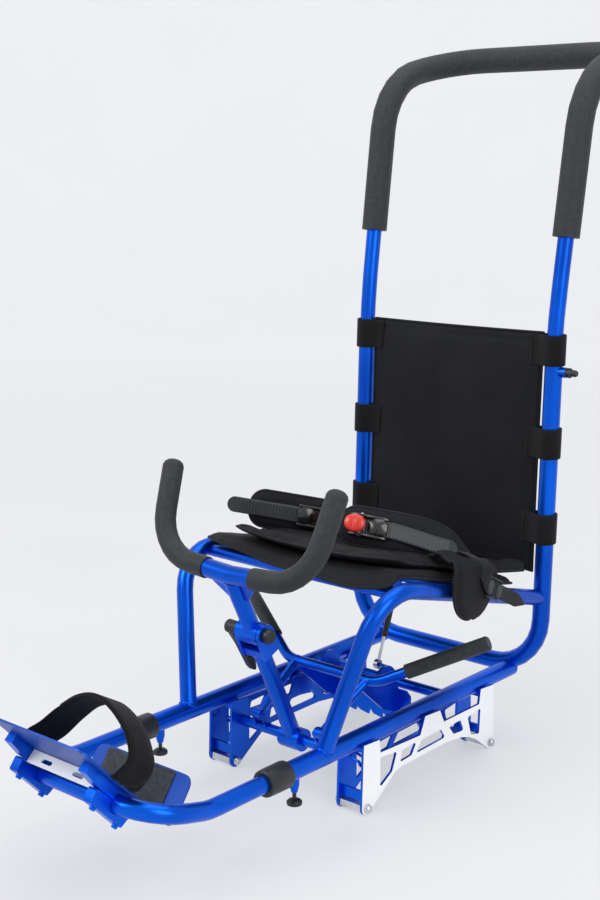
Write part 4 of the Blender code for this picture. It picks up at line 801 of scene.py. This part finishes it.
def pad_profile(width, thick, rim=0.0028):
    """Padded cross-section: a bound rim on both edges and foam that swells between."""
    half = width / 2
    swell = [(0.93, 0.42), (0.80, 0.86), (0.55, 1.0), (0.20, 1.0)]
    rising = [(half * w, thick / 2 * t) for w, t in swell]
    falling = [(-half * w, thick / 2 * t) for w, t in reversed(swell)]
    upper = rising + falling
    lower = [(-w, -t) for w, t in upper]
    return [(half, -rim / 2), (half, rim / 2)] + upper + [(-half, rim / 2), (-half, -rim / 2)] + lower


def right_pad_route(origin, along):
    """Points of the right pad's middle line: along the strap, over the side tube and down beside it."""
    points = [origin - along * 0.062, origin, origin + along * 0.034]
    for x, y, lift in ((0.118, 0.038, 0.0285), (0.146, 0.040, 0.0180), (0.170, 0.030, 0.0095)):
        points.append(Vector((x, y, seat_height(y) + lift)))
    points.append(Vector((PAD_OUTSIDE - 0.007, 0.022, points[-1].z - 0.003)))
    points.append(Vector((PAD_OUTSIDE, 0.014, points[-2].z - 0.024)))
    points.append(Vector((PAD_OUTSIDE, 0.008, 0.262)))
    return points


def left_pad_route(origin, along, out):
    points = [origin - along * 0.072 - out * 0.004, origin - along * 0.045, origin]
    return points + [origin + along * 0.045, origin + along * 0.080 - out * 0.003]


def hip_pad(side):
    """Cover swept along the pad's middle line with rounded ends, and a binding on each edge."""
    origin, along, up, out = belt_frame(side)
    points = right_pad_route(origin, along) if side == 1 else left_pad_route(origin, along, out)
    leans = PAD_LEANS[side]
    line = curve_through(points, PER_SPAN)
    for _ in range(4):
        line = line[:-2] + [line[-2], line[-2].lerp(line[-1], 0.5), line[-1]]

    def wide_at(index):
        span = min(index // PER_SPAN, len(leans) - 2)
        share = leans[span] + (leans[span + 1] - leans[span]) * (index / PER_SPAN - span)
        return leaning(side, share)

    lengths = [0.0]
    for a, b in zip(line, line[1:]):
        lengths.append(lengths[-1] + (b - a).length)

    def profile_at(index):
        near_end = min(lengths[index], lengths[-1] - lengths[index])
        lobe = side == 1 and lengths[index] > lengths[-1] * LOBE_FROM
        body = PAD_WIDTH[side]
        if lobe:
            body += LOBE_EXTRA * step_up(lengths[index] / lengths[-1], LOBE_FROM, LOBE_FULL)
        corner = body * (0.46 if lobe else 0.42)
        inside = max(0.0, corner - near_end)
        width = body - 2 * corner + 2 * math.sqrt(max(corner ** 2 - inside ** 2, 1e-7))
        thick = PAD_THICK * (0.45 + 0.55 * min(1.0, near_end / 0.012))
        return pad_profile(width, thick)

    mesh = bmesh.new()
    sweep(mesh, line, wide_at, profile_at)
    word = word_of(side)
    pad = finished(f"hip_pad_cover_{word}", mesh, [PACK_NYLON], "frame", [f"hip_pad_{word}"])
    edge = bmesh.new()
    for sign in (1, -1):
        trail = []
        for index, point in enumerate(line):
            tangent = (line[min(index + 1, len(line) - 1)] - line[max(index - 1, 0)]).normalized()
            wide = wide_at(index)
            wide = (wide - tangent * wide.dot(tangent)).normalized()
            trail.append(point + wide * profile_at(index)[0][0] * sign)
        sweep(edge, trail, wide_at, lambda index: round_profile(0.0024, 8))
    finished(f"hip_pad_binding_{word}", edge, [BINDING], "frame")
    print("hip pad", word, round(lengths[-1], 3), "m long")


for side in (1, -1):
    hip_pad(side)

# %% [markdown]
# The ladder strap is a flat moulding with cross ribs 4.5 mm apart between two smooth edges. The right one
# bows down with its pad.

# %% Ladder straps
RIB_PITCH = 0.0045
RIB_TALL = 0.0010
STRAP_HALF = 0.0120
STRAP_ENDS = {1: (-0.030, 0.116), -1: (-0.108, 0.040)}
STRAP_OUT = 0.0084              # from the pad's middle to the strap's back
STRAP_THICK = 0.0020
STRAP_BOW = 0.012
STRAP_EDGE = 0.0006             # rise of the smooth edges
SMOOTH_TIP = 0.012              # length without ribs
STRAP_SHARES = [-1.0, -0.93, -0.80, -0.74, -0.68, 0.0, 0.68, 0.74, 0.80, 0.93, 1.0]     # stations across it


def ladder_strap(side):
    """Rows of points across the strap, eight to a rib, skinned above and below."""
    origin, along, up, out = belt_frame(side)
    low, high = STRAP_ENDS[side]
    step = RIB_PITCH / 8
    count = round((high - low) / step)
    mesh = bmesh.new()
    tops, lows = [], []
    tip = high if side == 1 else low
    for i in range(count + 1):
        a = low + step * i
        from_tip = abs(tip - a)
        inside = max(0.0, STRAP_HALF - from_tip)
        half = math.sqrt(max(STRAP_HALF ** 2 - inside ** 2, 1e-8))
        phase = (a / RIB_PITCH) % 1.0
        rib = min(1.0, 4 * phase, 2.2 * (1 - phase)) if from_tip > SMOOTH_TIP else 0.35
        bow = STRAP_BOW * step_up(a, 0.0, 0.125) if side == 1 else 0.0
        top_row, low_row = [], []
        for share in STRAP_SHARES:
            b = share * half - bow
            if abs(share) < 0.76:
                height = STRAP_THICK + RIB_TALL * rib
            else:
                height = STRAP_THICK + (STRAP_EDGE if abs(share) < 0.95 else 0.0)
            bend = 0.0006 * math.sin((a - low) * 30.0)
            top_row.append(mesh.verts.new(origin + along * a + up * b + out * (STRAP_OUT + height + bend)))
            low_row.append(mesh.verts.new(origin + along * a + up * b + out * (STRAP_OUT + bend)))
        tops.append(top_row)
        lows.append(low_row)

    wide = len(STRAP_SHARES)
    for i in range(count):
        for j in range(wide - 1):
            mesh.faces.new((tops[i][j], tops[i + 1][j], tops[i + 1][j + 1], tops[i][j + 1]))
            mesh.faces.new((lows[i][j], lows[i][j + 1], lows[i + 1][j + 1], lows[i + 1][j]))
        for j in (0, wide - 1):
            mesh.faces.new((tops[i][j], tops[i + 1][j], lows[i + 1][j], lows[i][j]))
    for i in (0, count):
        for j in range(wide - 1):
            mesh.faces.new((tops[i][j], tops[i][j + 1], lows[i][j + 1], lows[i][j]))
    word = word_of(side)
    piece = finished(f"ribbed_strap_{word}", mesh, [STRAP_PLASTIC], "frame",
                     [f"ladder_strap_{word}"])
    piece.data.set_sharp_from_angle(angle=math.radians(50))
    print("ladder strap", word, count, "steps")


for side in (1, -1):
    ladder_strap(side)

# %% [markdown]
# Each ratchet is a housing of two cheeks, a floor and a bridge over the strap. Its red lever is a flat dome
# with a groove across it, on a barrel round a bright pin.

# %% Ratchets
RATCHET_PIN = {1: -0.030, -1: 0.040}
RATCHET_PIN_OUT = 0.0160
CHEEK_OUTSIDE = 0.0162
CHEEK_THICK = 0.0036
HOUSING_BASE = 0.0061
RIVET_HALF = 0.0176
RIVET_RADII = (0.0020, 0.0030, 0.0021, 0.0030, 0.0020)
LEVER_HALF_WIDTH = 0.0135
LEVER_HALF_THICK = 0.0042
# Stations of the lever: distance along, share of the width, height over the pin, share of the thickness.
LEVER_SPANS = [
    (0.0066, 0.20, 0.0050, 0.5), (0.0060, 0.52, 0.0056, 0.8), (0.0030, 0.82, 0.0066, 1.0),
    (-0.0030, 0.98, 0.0074, 1.0), (-0.0066, 1.0, 0.0076, 1.0), (-0.0074, 0.99, 0.0068, 0.75),
    (-0.0094, 0.99, 0.0068, 0.75), (-0.0102, 1.0, 0.0076, 1.0), (-0.0160, 0.92, 0.0070, 1.0),
    (-0.0205, 0.72, 0.0060, 0.9), (-0.0230, 0.44, 0.0052, 0.7), (-0.0238, 0.16, 0.0050, 0.4),
]
RATCHET_ENDS = {1: (-0.047, 0.010), -1: (0.002, 0.057)}


def slab(mesh, outline, place, low, high, kind=0):
    """Prism of an outline in a plane, between two heights, with its edges rounded by half a millimetre."""
    soft = 0.0005
    middle = sum((Vector(p) for p in outline), Vector((0, 0))) / len(outline)
    levels = ((low, soft), (low + soft, 0.0), (high - soft, 0.0), (high, soft))
    rings = []
    for height, inset in levels:
        ring = []
        for p in outline:
            point = Vector(p)
            point += (middle - point).normalized() * inset
            ring.append(mesh.verts.new(place @ Vector((point.x, point.y, height))))
        rings.append(ring)
    for ring, other in zip(rings, rings[1:]):
        for i in range(len(ring)):
            j = (i + 1) % len(ring)
            mesh.faces.new((ring[i], ring[j], other[j], other[i])).material_index = kind
    mesh.faces.new(rings[0][::-1]).material_index = kind
    mesh.faces.new(rings[-1]).material_index = kind


def smooth_outline(points, rounds=3):
    """Closed outline with its corners cut by Chaikin's rule."""
    for _ in range(rounds):
        softer = []
        for (ax, ay), (bx, by) in zip(points, points[1:] + points[:1]):
            softer.append((ax * 0.75 + bx * 0.25, ay * 0.75 + by * 0.25))
            softer.append((ax * 0.25 + bx * 0.75, ay * 0.25 + by * 0.75))
        points = softer
    return points


def cheek_outline(low, high, pin_at):
    """Side view of a cheek: low at both ends, raised round the pin."""
    half = [(low - 0.001, 0.0070), (pin_at - 0.014, 0.0100), (pin_at - 0.006, 0.0132)]
    other = [(pin_at + 0.006, 0.0132), (pin_at + 0.014, 0.0100), (high + 0.001, 0.0070)]
    top = [(a, HOUSING_BASE + height) for a, height in half + other]
    return [(low - 0.001, HOUSING_BASE), (high + 0.001, HOUSING_BASE)] + top[::-1]


def plate_outline(low, high, half):
    return smooth_outline([(low, -half), (high, -half), (high, half), (low, half)], 1)


def ratchet(side):
    """Housing and rivet on the frame, red lever on its own body."""
    origin, along, up, out = belt_frame(side)
    low, high = RATCHET_ENDS[side]
    pin_at = RATCHET_PIN[side]
    word = word_of(side)
    cheek = smooth_outline(cheek_outline(low, high, pin_at), 2)
    mesh = bmesh.new()
    for face_at in (CHEEK_OUTSIDE, CHEEK_THICK - CHEEK_OUTSIDE):
        slab(mesh, cheek, placed(origin + up * face_at, along, out), 0.0, CHEEK_THICK)
    flat = placed(origin, along, up)
    slab(mesh, plate_outline(low, high, 0.0125), flat, HOUSING_BASE, HOUSING_BASE + 0.0019)
    bridge_low, bridge_high = (pin_at + 0.012, high) if side == 1 else (low, pin_at - 0.012)
    slab(mesh, plate_outline(bridge_low, bridge_high, 0.0130), flat, 0.0122, 0.0150)
    finished(f"ratchet_housing_{word}", mesh, [GLOSS_BLACK], "frame",
             [f"ratchet_frame_{word}"])
    pin = origin + along * pin_at + out * RATCHET_PIN_OUT
    rivet = bmesh.new()
    head = RIVET_HALF - 0.0004
    rivet_line = [pin + up * at for at in (-RIVET_HALF, -head, 0.0, head, RIVET_HALF)]
    sweep(rivet, rivet_line, lambda index: along, lambda index: round_profile(RIVET_RADII[index], 14))
    finished(f"ratchet_rivet_{word}", rivet, [BRIGHT_STEEL], "frame")
    lever = bmesh.new()
    line = [pin + along * (a * side) + out * lift for a, _, lift, _ in LEVER_SPANS]

    def lever_profile(index):
        half = LEVER_HALF_WIDTH * LEVER_SPANS[index][1]
        thick = LEVER_HALF_THICK * LEVER_SPANS[index][3]
        return [(half * math.cos(t), thick * math.sin(t)) for t in [2 * math.pi * k / 20 for k in range(20)]]

    barrel = [pin + up * at for at in (-0.0090, -0.0086, 0.0086, 0.0090)]
    sweep(lever, barrel, lambda index: along,
          lambda index: round_profile((0.0036, 0.0042, 0.0042, 0.0036)[index], 16))
    sweep(lever, line, lambda index: up, lever_profile)
    finished(f"red_lever_{word}", lever, [RED_PLASTIC], f"ratchet_lever_{word}",
             [f"ratchet_lever_{word}"], 1)
    print("ratchet", word)


for side in (1, -1):
    ratchet(side)

# %% [markdown]
# The toe strap is a hook-and-loop band of two plies: the upper ply comes over the arch and ends on the right.

# %% Toe strap
HEEL_LINE = (-0.478, 0.078)
SOLE_ANGLE = math.radians(46.4)
FOOTREST_HALF = 0.089
STRAP_CROSSING = 0.122
TOE_STRAP = 0.046
UNDER_PLY, OVER_PLY = 0.0023, 0.0022
PLIES_APART = 0.0026
TAB_RISE = 0.0040               # of the upper ply's free end
INSET, OVERHANG = 0.006, 0.0045     # of the strap's turn from the sole plate's edge


def sole_point(x, distance, lift=0.0):
    """Point on the sole plate: a distance up it from the heel fold, lifted off its face."""
    along = Vector((0, -math.cos(SOLE_ANGLE), math.sin(SOLE_ANGLE)))
    normal = Vector((0, math.sin(SOLE_ANGLE), math.cos(SOLE_ANGLE)))
    return Vector((x, *HEEL_LINE)) + along * distance + normal * lift


def toe_strap_width(point):
    """The strap's width follows the sole low down and leans forward over the foot."""
    on_arch = Vector((0, -math.cos(math.radians(30)), math.sin(math.radians(30))))
    on_sole = Vector((0, -math.cos(SOLE_ANGLE), math.sin(SOLE_ANGLE)))
    return on_sole.lerp(on_arch, min(max((point.z - 0.180) / 0.06, 0.0), 1.0)).normalized()


arch = [(0.113, -0.553, 0.198), (0.104, -0.547, 0.224), (0.078, -0.542, 0.245), (0.044, -0.540, 0.2565),
        (0.008, -0.540, 0.247), (-0.028, -0.5405, 0.222), (-0.060, -0.543, 0.194), (-0.082, -0.548, 0.178)]
inner, outer = FOOTREST_HALF - INSET, FOOTREST_HALF + OVERHANG
right_edge = [sole_point(inner, STRAP_CROSSING, 0.0035), sole_point(outer, STRAP_CROSSING, 0.0038)]
left_edge = [sole_point(-outer, STRAP_CROSSING, 0.0038), sole_point(-inner, STRAP_CROSSING, 0.0035)]
under_line = spaced(curve_through(right_edge + arch + left_edge, 6), 0.004)
strap = bmesh.new()
sweep(strap, under_line, lambda index: toe_strap_width(under_line[index]),
      lambda index: flat_profile(TOE_STRAP, UNDER_PLY))
over_line = []
for index, point in enumerate(under_line[4:len(under_line) * 2 // 3]):
    tangent = (under_line[index + 5] - under_line[index + 3]).normalized()
    outward = tangent.cross(toe_strap_width(point)).normalized()
    if outward.z < 0 and point.z > 0.24 or outward.x * point.x < 0 and point.z <= 0.24:
        outward = -outward
    lifted = PLIES_APART + TAB_RISE * math.exp(-index / 2.0)
    over_line.append(point + outward * lifted)
sweep(strap, over_line, lambda index: toe_strap_width(over_line[index]),
      lambda index: flat_profile(TOE_STRAP * (0.94 if index > 2 else 0.60 + 0.11 * index), OVER_PLY))
finished("toe_strap_plies", strap, [HOOK_STRAP], "footrest", ["toe_strap"])
print("toe strap", len(under_line), "and", len(over_line), "points")

# %% [markdown]
# From the ladder strap's end the adjusting webbing runs over the right pad and hangs beside it, in a slide of
# two thick bars.

# %% Webbing and slide
WEB_WIDTH = 0.021
WEB_OUTSIDE = 0.2190
WEB_THICK = 0.0015
WEB_STEP = 0.004
SLIDE_HALF_WIDTH = 0.0150
SLIDE_HALF_LENGTH = 0.0215
SLIDE_RAIL_AT = 0.0142
SLIDE_BAR_APART = 0.0125        # of each bar from the slide's middle
web_route = [(0.164, 0.046, 0.3460), (0.188, 0.040, 0.3440), (0.2075, 0.034, 0.3385), (0.2168, 0.032, 0.325),
             (WEB_OUTSIDE, 0.038, 0.306), (WEB_OUTSIDE, 0.056, 0.2965), (WEB_OUTSIDE, 0.085, 0.2815),
             (WEB_OUTSIDE - 0.0005, 0.115, 0.2665), (WEB_OUTSIDE - 0.002, 0.141, 0.2535)]
web_line = spaced(curve_through([Vector(point) for point in web_route], 6), WEB_STEP)


def web_up(index):
    """The webbing turns from lying on the pad to hanging beside it."""
    turned = step_up(web_line[index].x, 0.188, WEB_OUTSIDE - 0.001)
    return Vector((0, 1, -0.26)).lerp(Vector((0, 0.45, 0.89)), turned)


def web_profile(index):
    to_tail = len(web_line) - 1 - index
    width = WEB_WIDTH * min(1.0, 0.15 + 0.12 * to_tail)
    return flat_profile(width, WEB_THICK, 0.0004)


web = bmesh.new()
sweep(web, web_line, web_up, web_profile)
finished("adjusting_webbing", web, [WEBBING], "frame", ["belt_webbing"])
web_along = (Vector(web_route[6]) - Vector(web_route[5])).normalized()
side_up = Vector((1, 0, 0)).cross(web_along).normalized()
slide_middle = Vector((WEB_OUTSIDE, 0.052, 0.2985))
slide = bmesh.new()
for offset in (-SLIDE_BAR_APART, SLIDE_BAR_APART):
    bar_middle = slide_middle + web_along * offset
    ends = [bar_middle - side_up * SLIDE_HALF_WIDTH, bar_middle + side_up * SLIDE_HALF_WIDTH]
    sweep(slide, ends, lambda index: web_along, lambda index: flat_profile(0.0150, 0.0066, 0.0024))
for sign in (1, -1):
    rail_middle = slide_middle + side_up * (SLIDE_RAIL_AT * sign)
    ends = [rail_middle - web_along * SLIDE_HALF_LENGTH, rail_middle + web_along * SLIDE_HALF_LENGTH]
    sweep(slide, ends, lambda index: side_up, lambda index: flat_profile(0.0046, 0.0058, 0.0018))
finished("slide_buckle", slide, [STRAP_PLASTIC], "frame", (), 1)
print("webbing", len(web_line), "points")

# %% [markdown]
# Where one tube is welded to another, a rippled bead follows the line in which the two meet.

# %% Weld beads


def meeting_line(centre, axis, radius, big_centre, big_axis, big_radius, count=48):
    """Closed line in which a tube that comes along axis meets a bigger tube."""
    axis = Vector(axis).normalized()
    big_axis = Vector(big_axis).normalized()
    side = axis.orthogonal().normalized()
    other = axis.cross(side)
    line = []
    for k in range(count):
        turn = 2 * math.pi * k / count
        start = Vector(centre) + (side * math.cos(turn) + other * math.sin(turn)) * radius
        away = start - Vector(big_centre)
        across = away - big_axis * away.dot(big_axis)
        step = axis - big_axis * axis.dot(big_axis)
        a = step.dot(step)
        b = 2 * across.dot(step)
        c = across.dot(across) - big_radius ** 2
        root = b * b - 4 * a * c
        if root < 0:
            reach = -b / (2 * a)
        else:
            reach = (-b - math.sqrt(root)) / (2 * a)
        line.append(start + axis * reach)
    return line


def weld_bead(mesh, line, size=0.0024):
    """Rippled bead along a closed line."""
    middle = sum(line, Vector()) / len(line)
    fine = []
    for a, b in zip(line, line[1:] + line[:1]):
        fine += [a, a.lerp(b, 0.5)]
    sweep(mesh, fine, lambda index: (fine[index] - middle),
          lambda index: round_profile(size * (1.0 if index % 2 else 0.82), 8), closed=True)


RAIL_X, RAIL_Z, RAIL_RADIUS = 0.130, 0.107, 0.014
SEAT_FOOT_Y = -0.230            # where a side tube stands on its rail
CROSS_TUBE_Y, CROSS_TUBE_Z, CROSS_TUBE_RADIUS = -0.140, 0.071, 0.008
BRACKET_REACH = 0.0355          # from a rail's middle to the face that the cross tube meets
beads = bmesh.new()
for side in (1, -1):
    rail = (side * RAIL_X, 0, RAIL_Z)
    foot = Vector((side * RAIL_X, SEAT_FOOT_Y, RAIL_Z))
    lean = Vector((side * (SEAT_CORNER[0] - RAIL_X), SEAT_CORNER[1] - SEAT_FOOT_Y, SEAT_CORNER[2] - RAIL_Z))
    weld_bead(beads, meeting_line(foot + lean * 0.3, -lean, SEAT_TUBE / 2, rail, (0, 1, 0), RAIL_RADIUS))
    cross = (side * 0.06, CROSS_TUBE_Y, CROSS_TUBE_Z)
    weld_bead(beads, meeting_line(cross, (side, 0, 0.0), CROSS_TUBE_RADIUS, rail, (0, 1, 0), BRACKET_REACH))
finished("weld_beads", beads, [BLUE_PAINT], "frame")
print("weld beads ready")
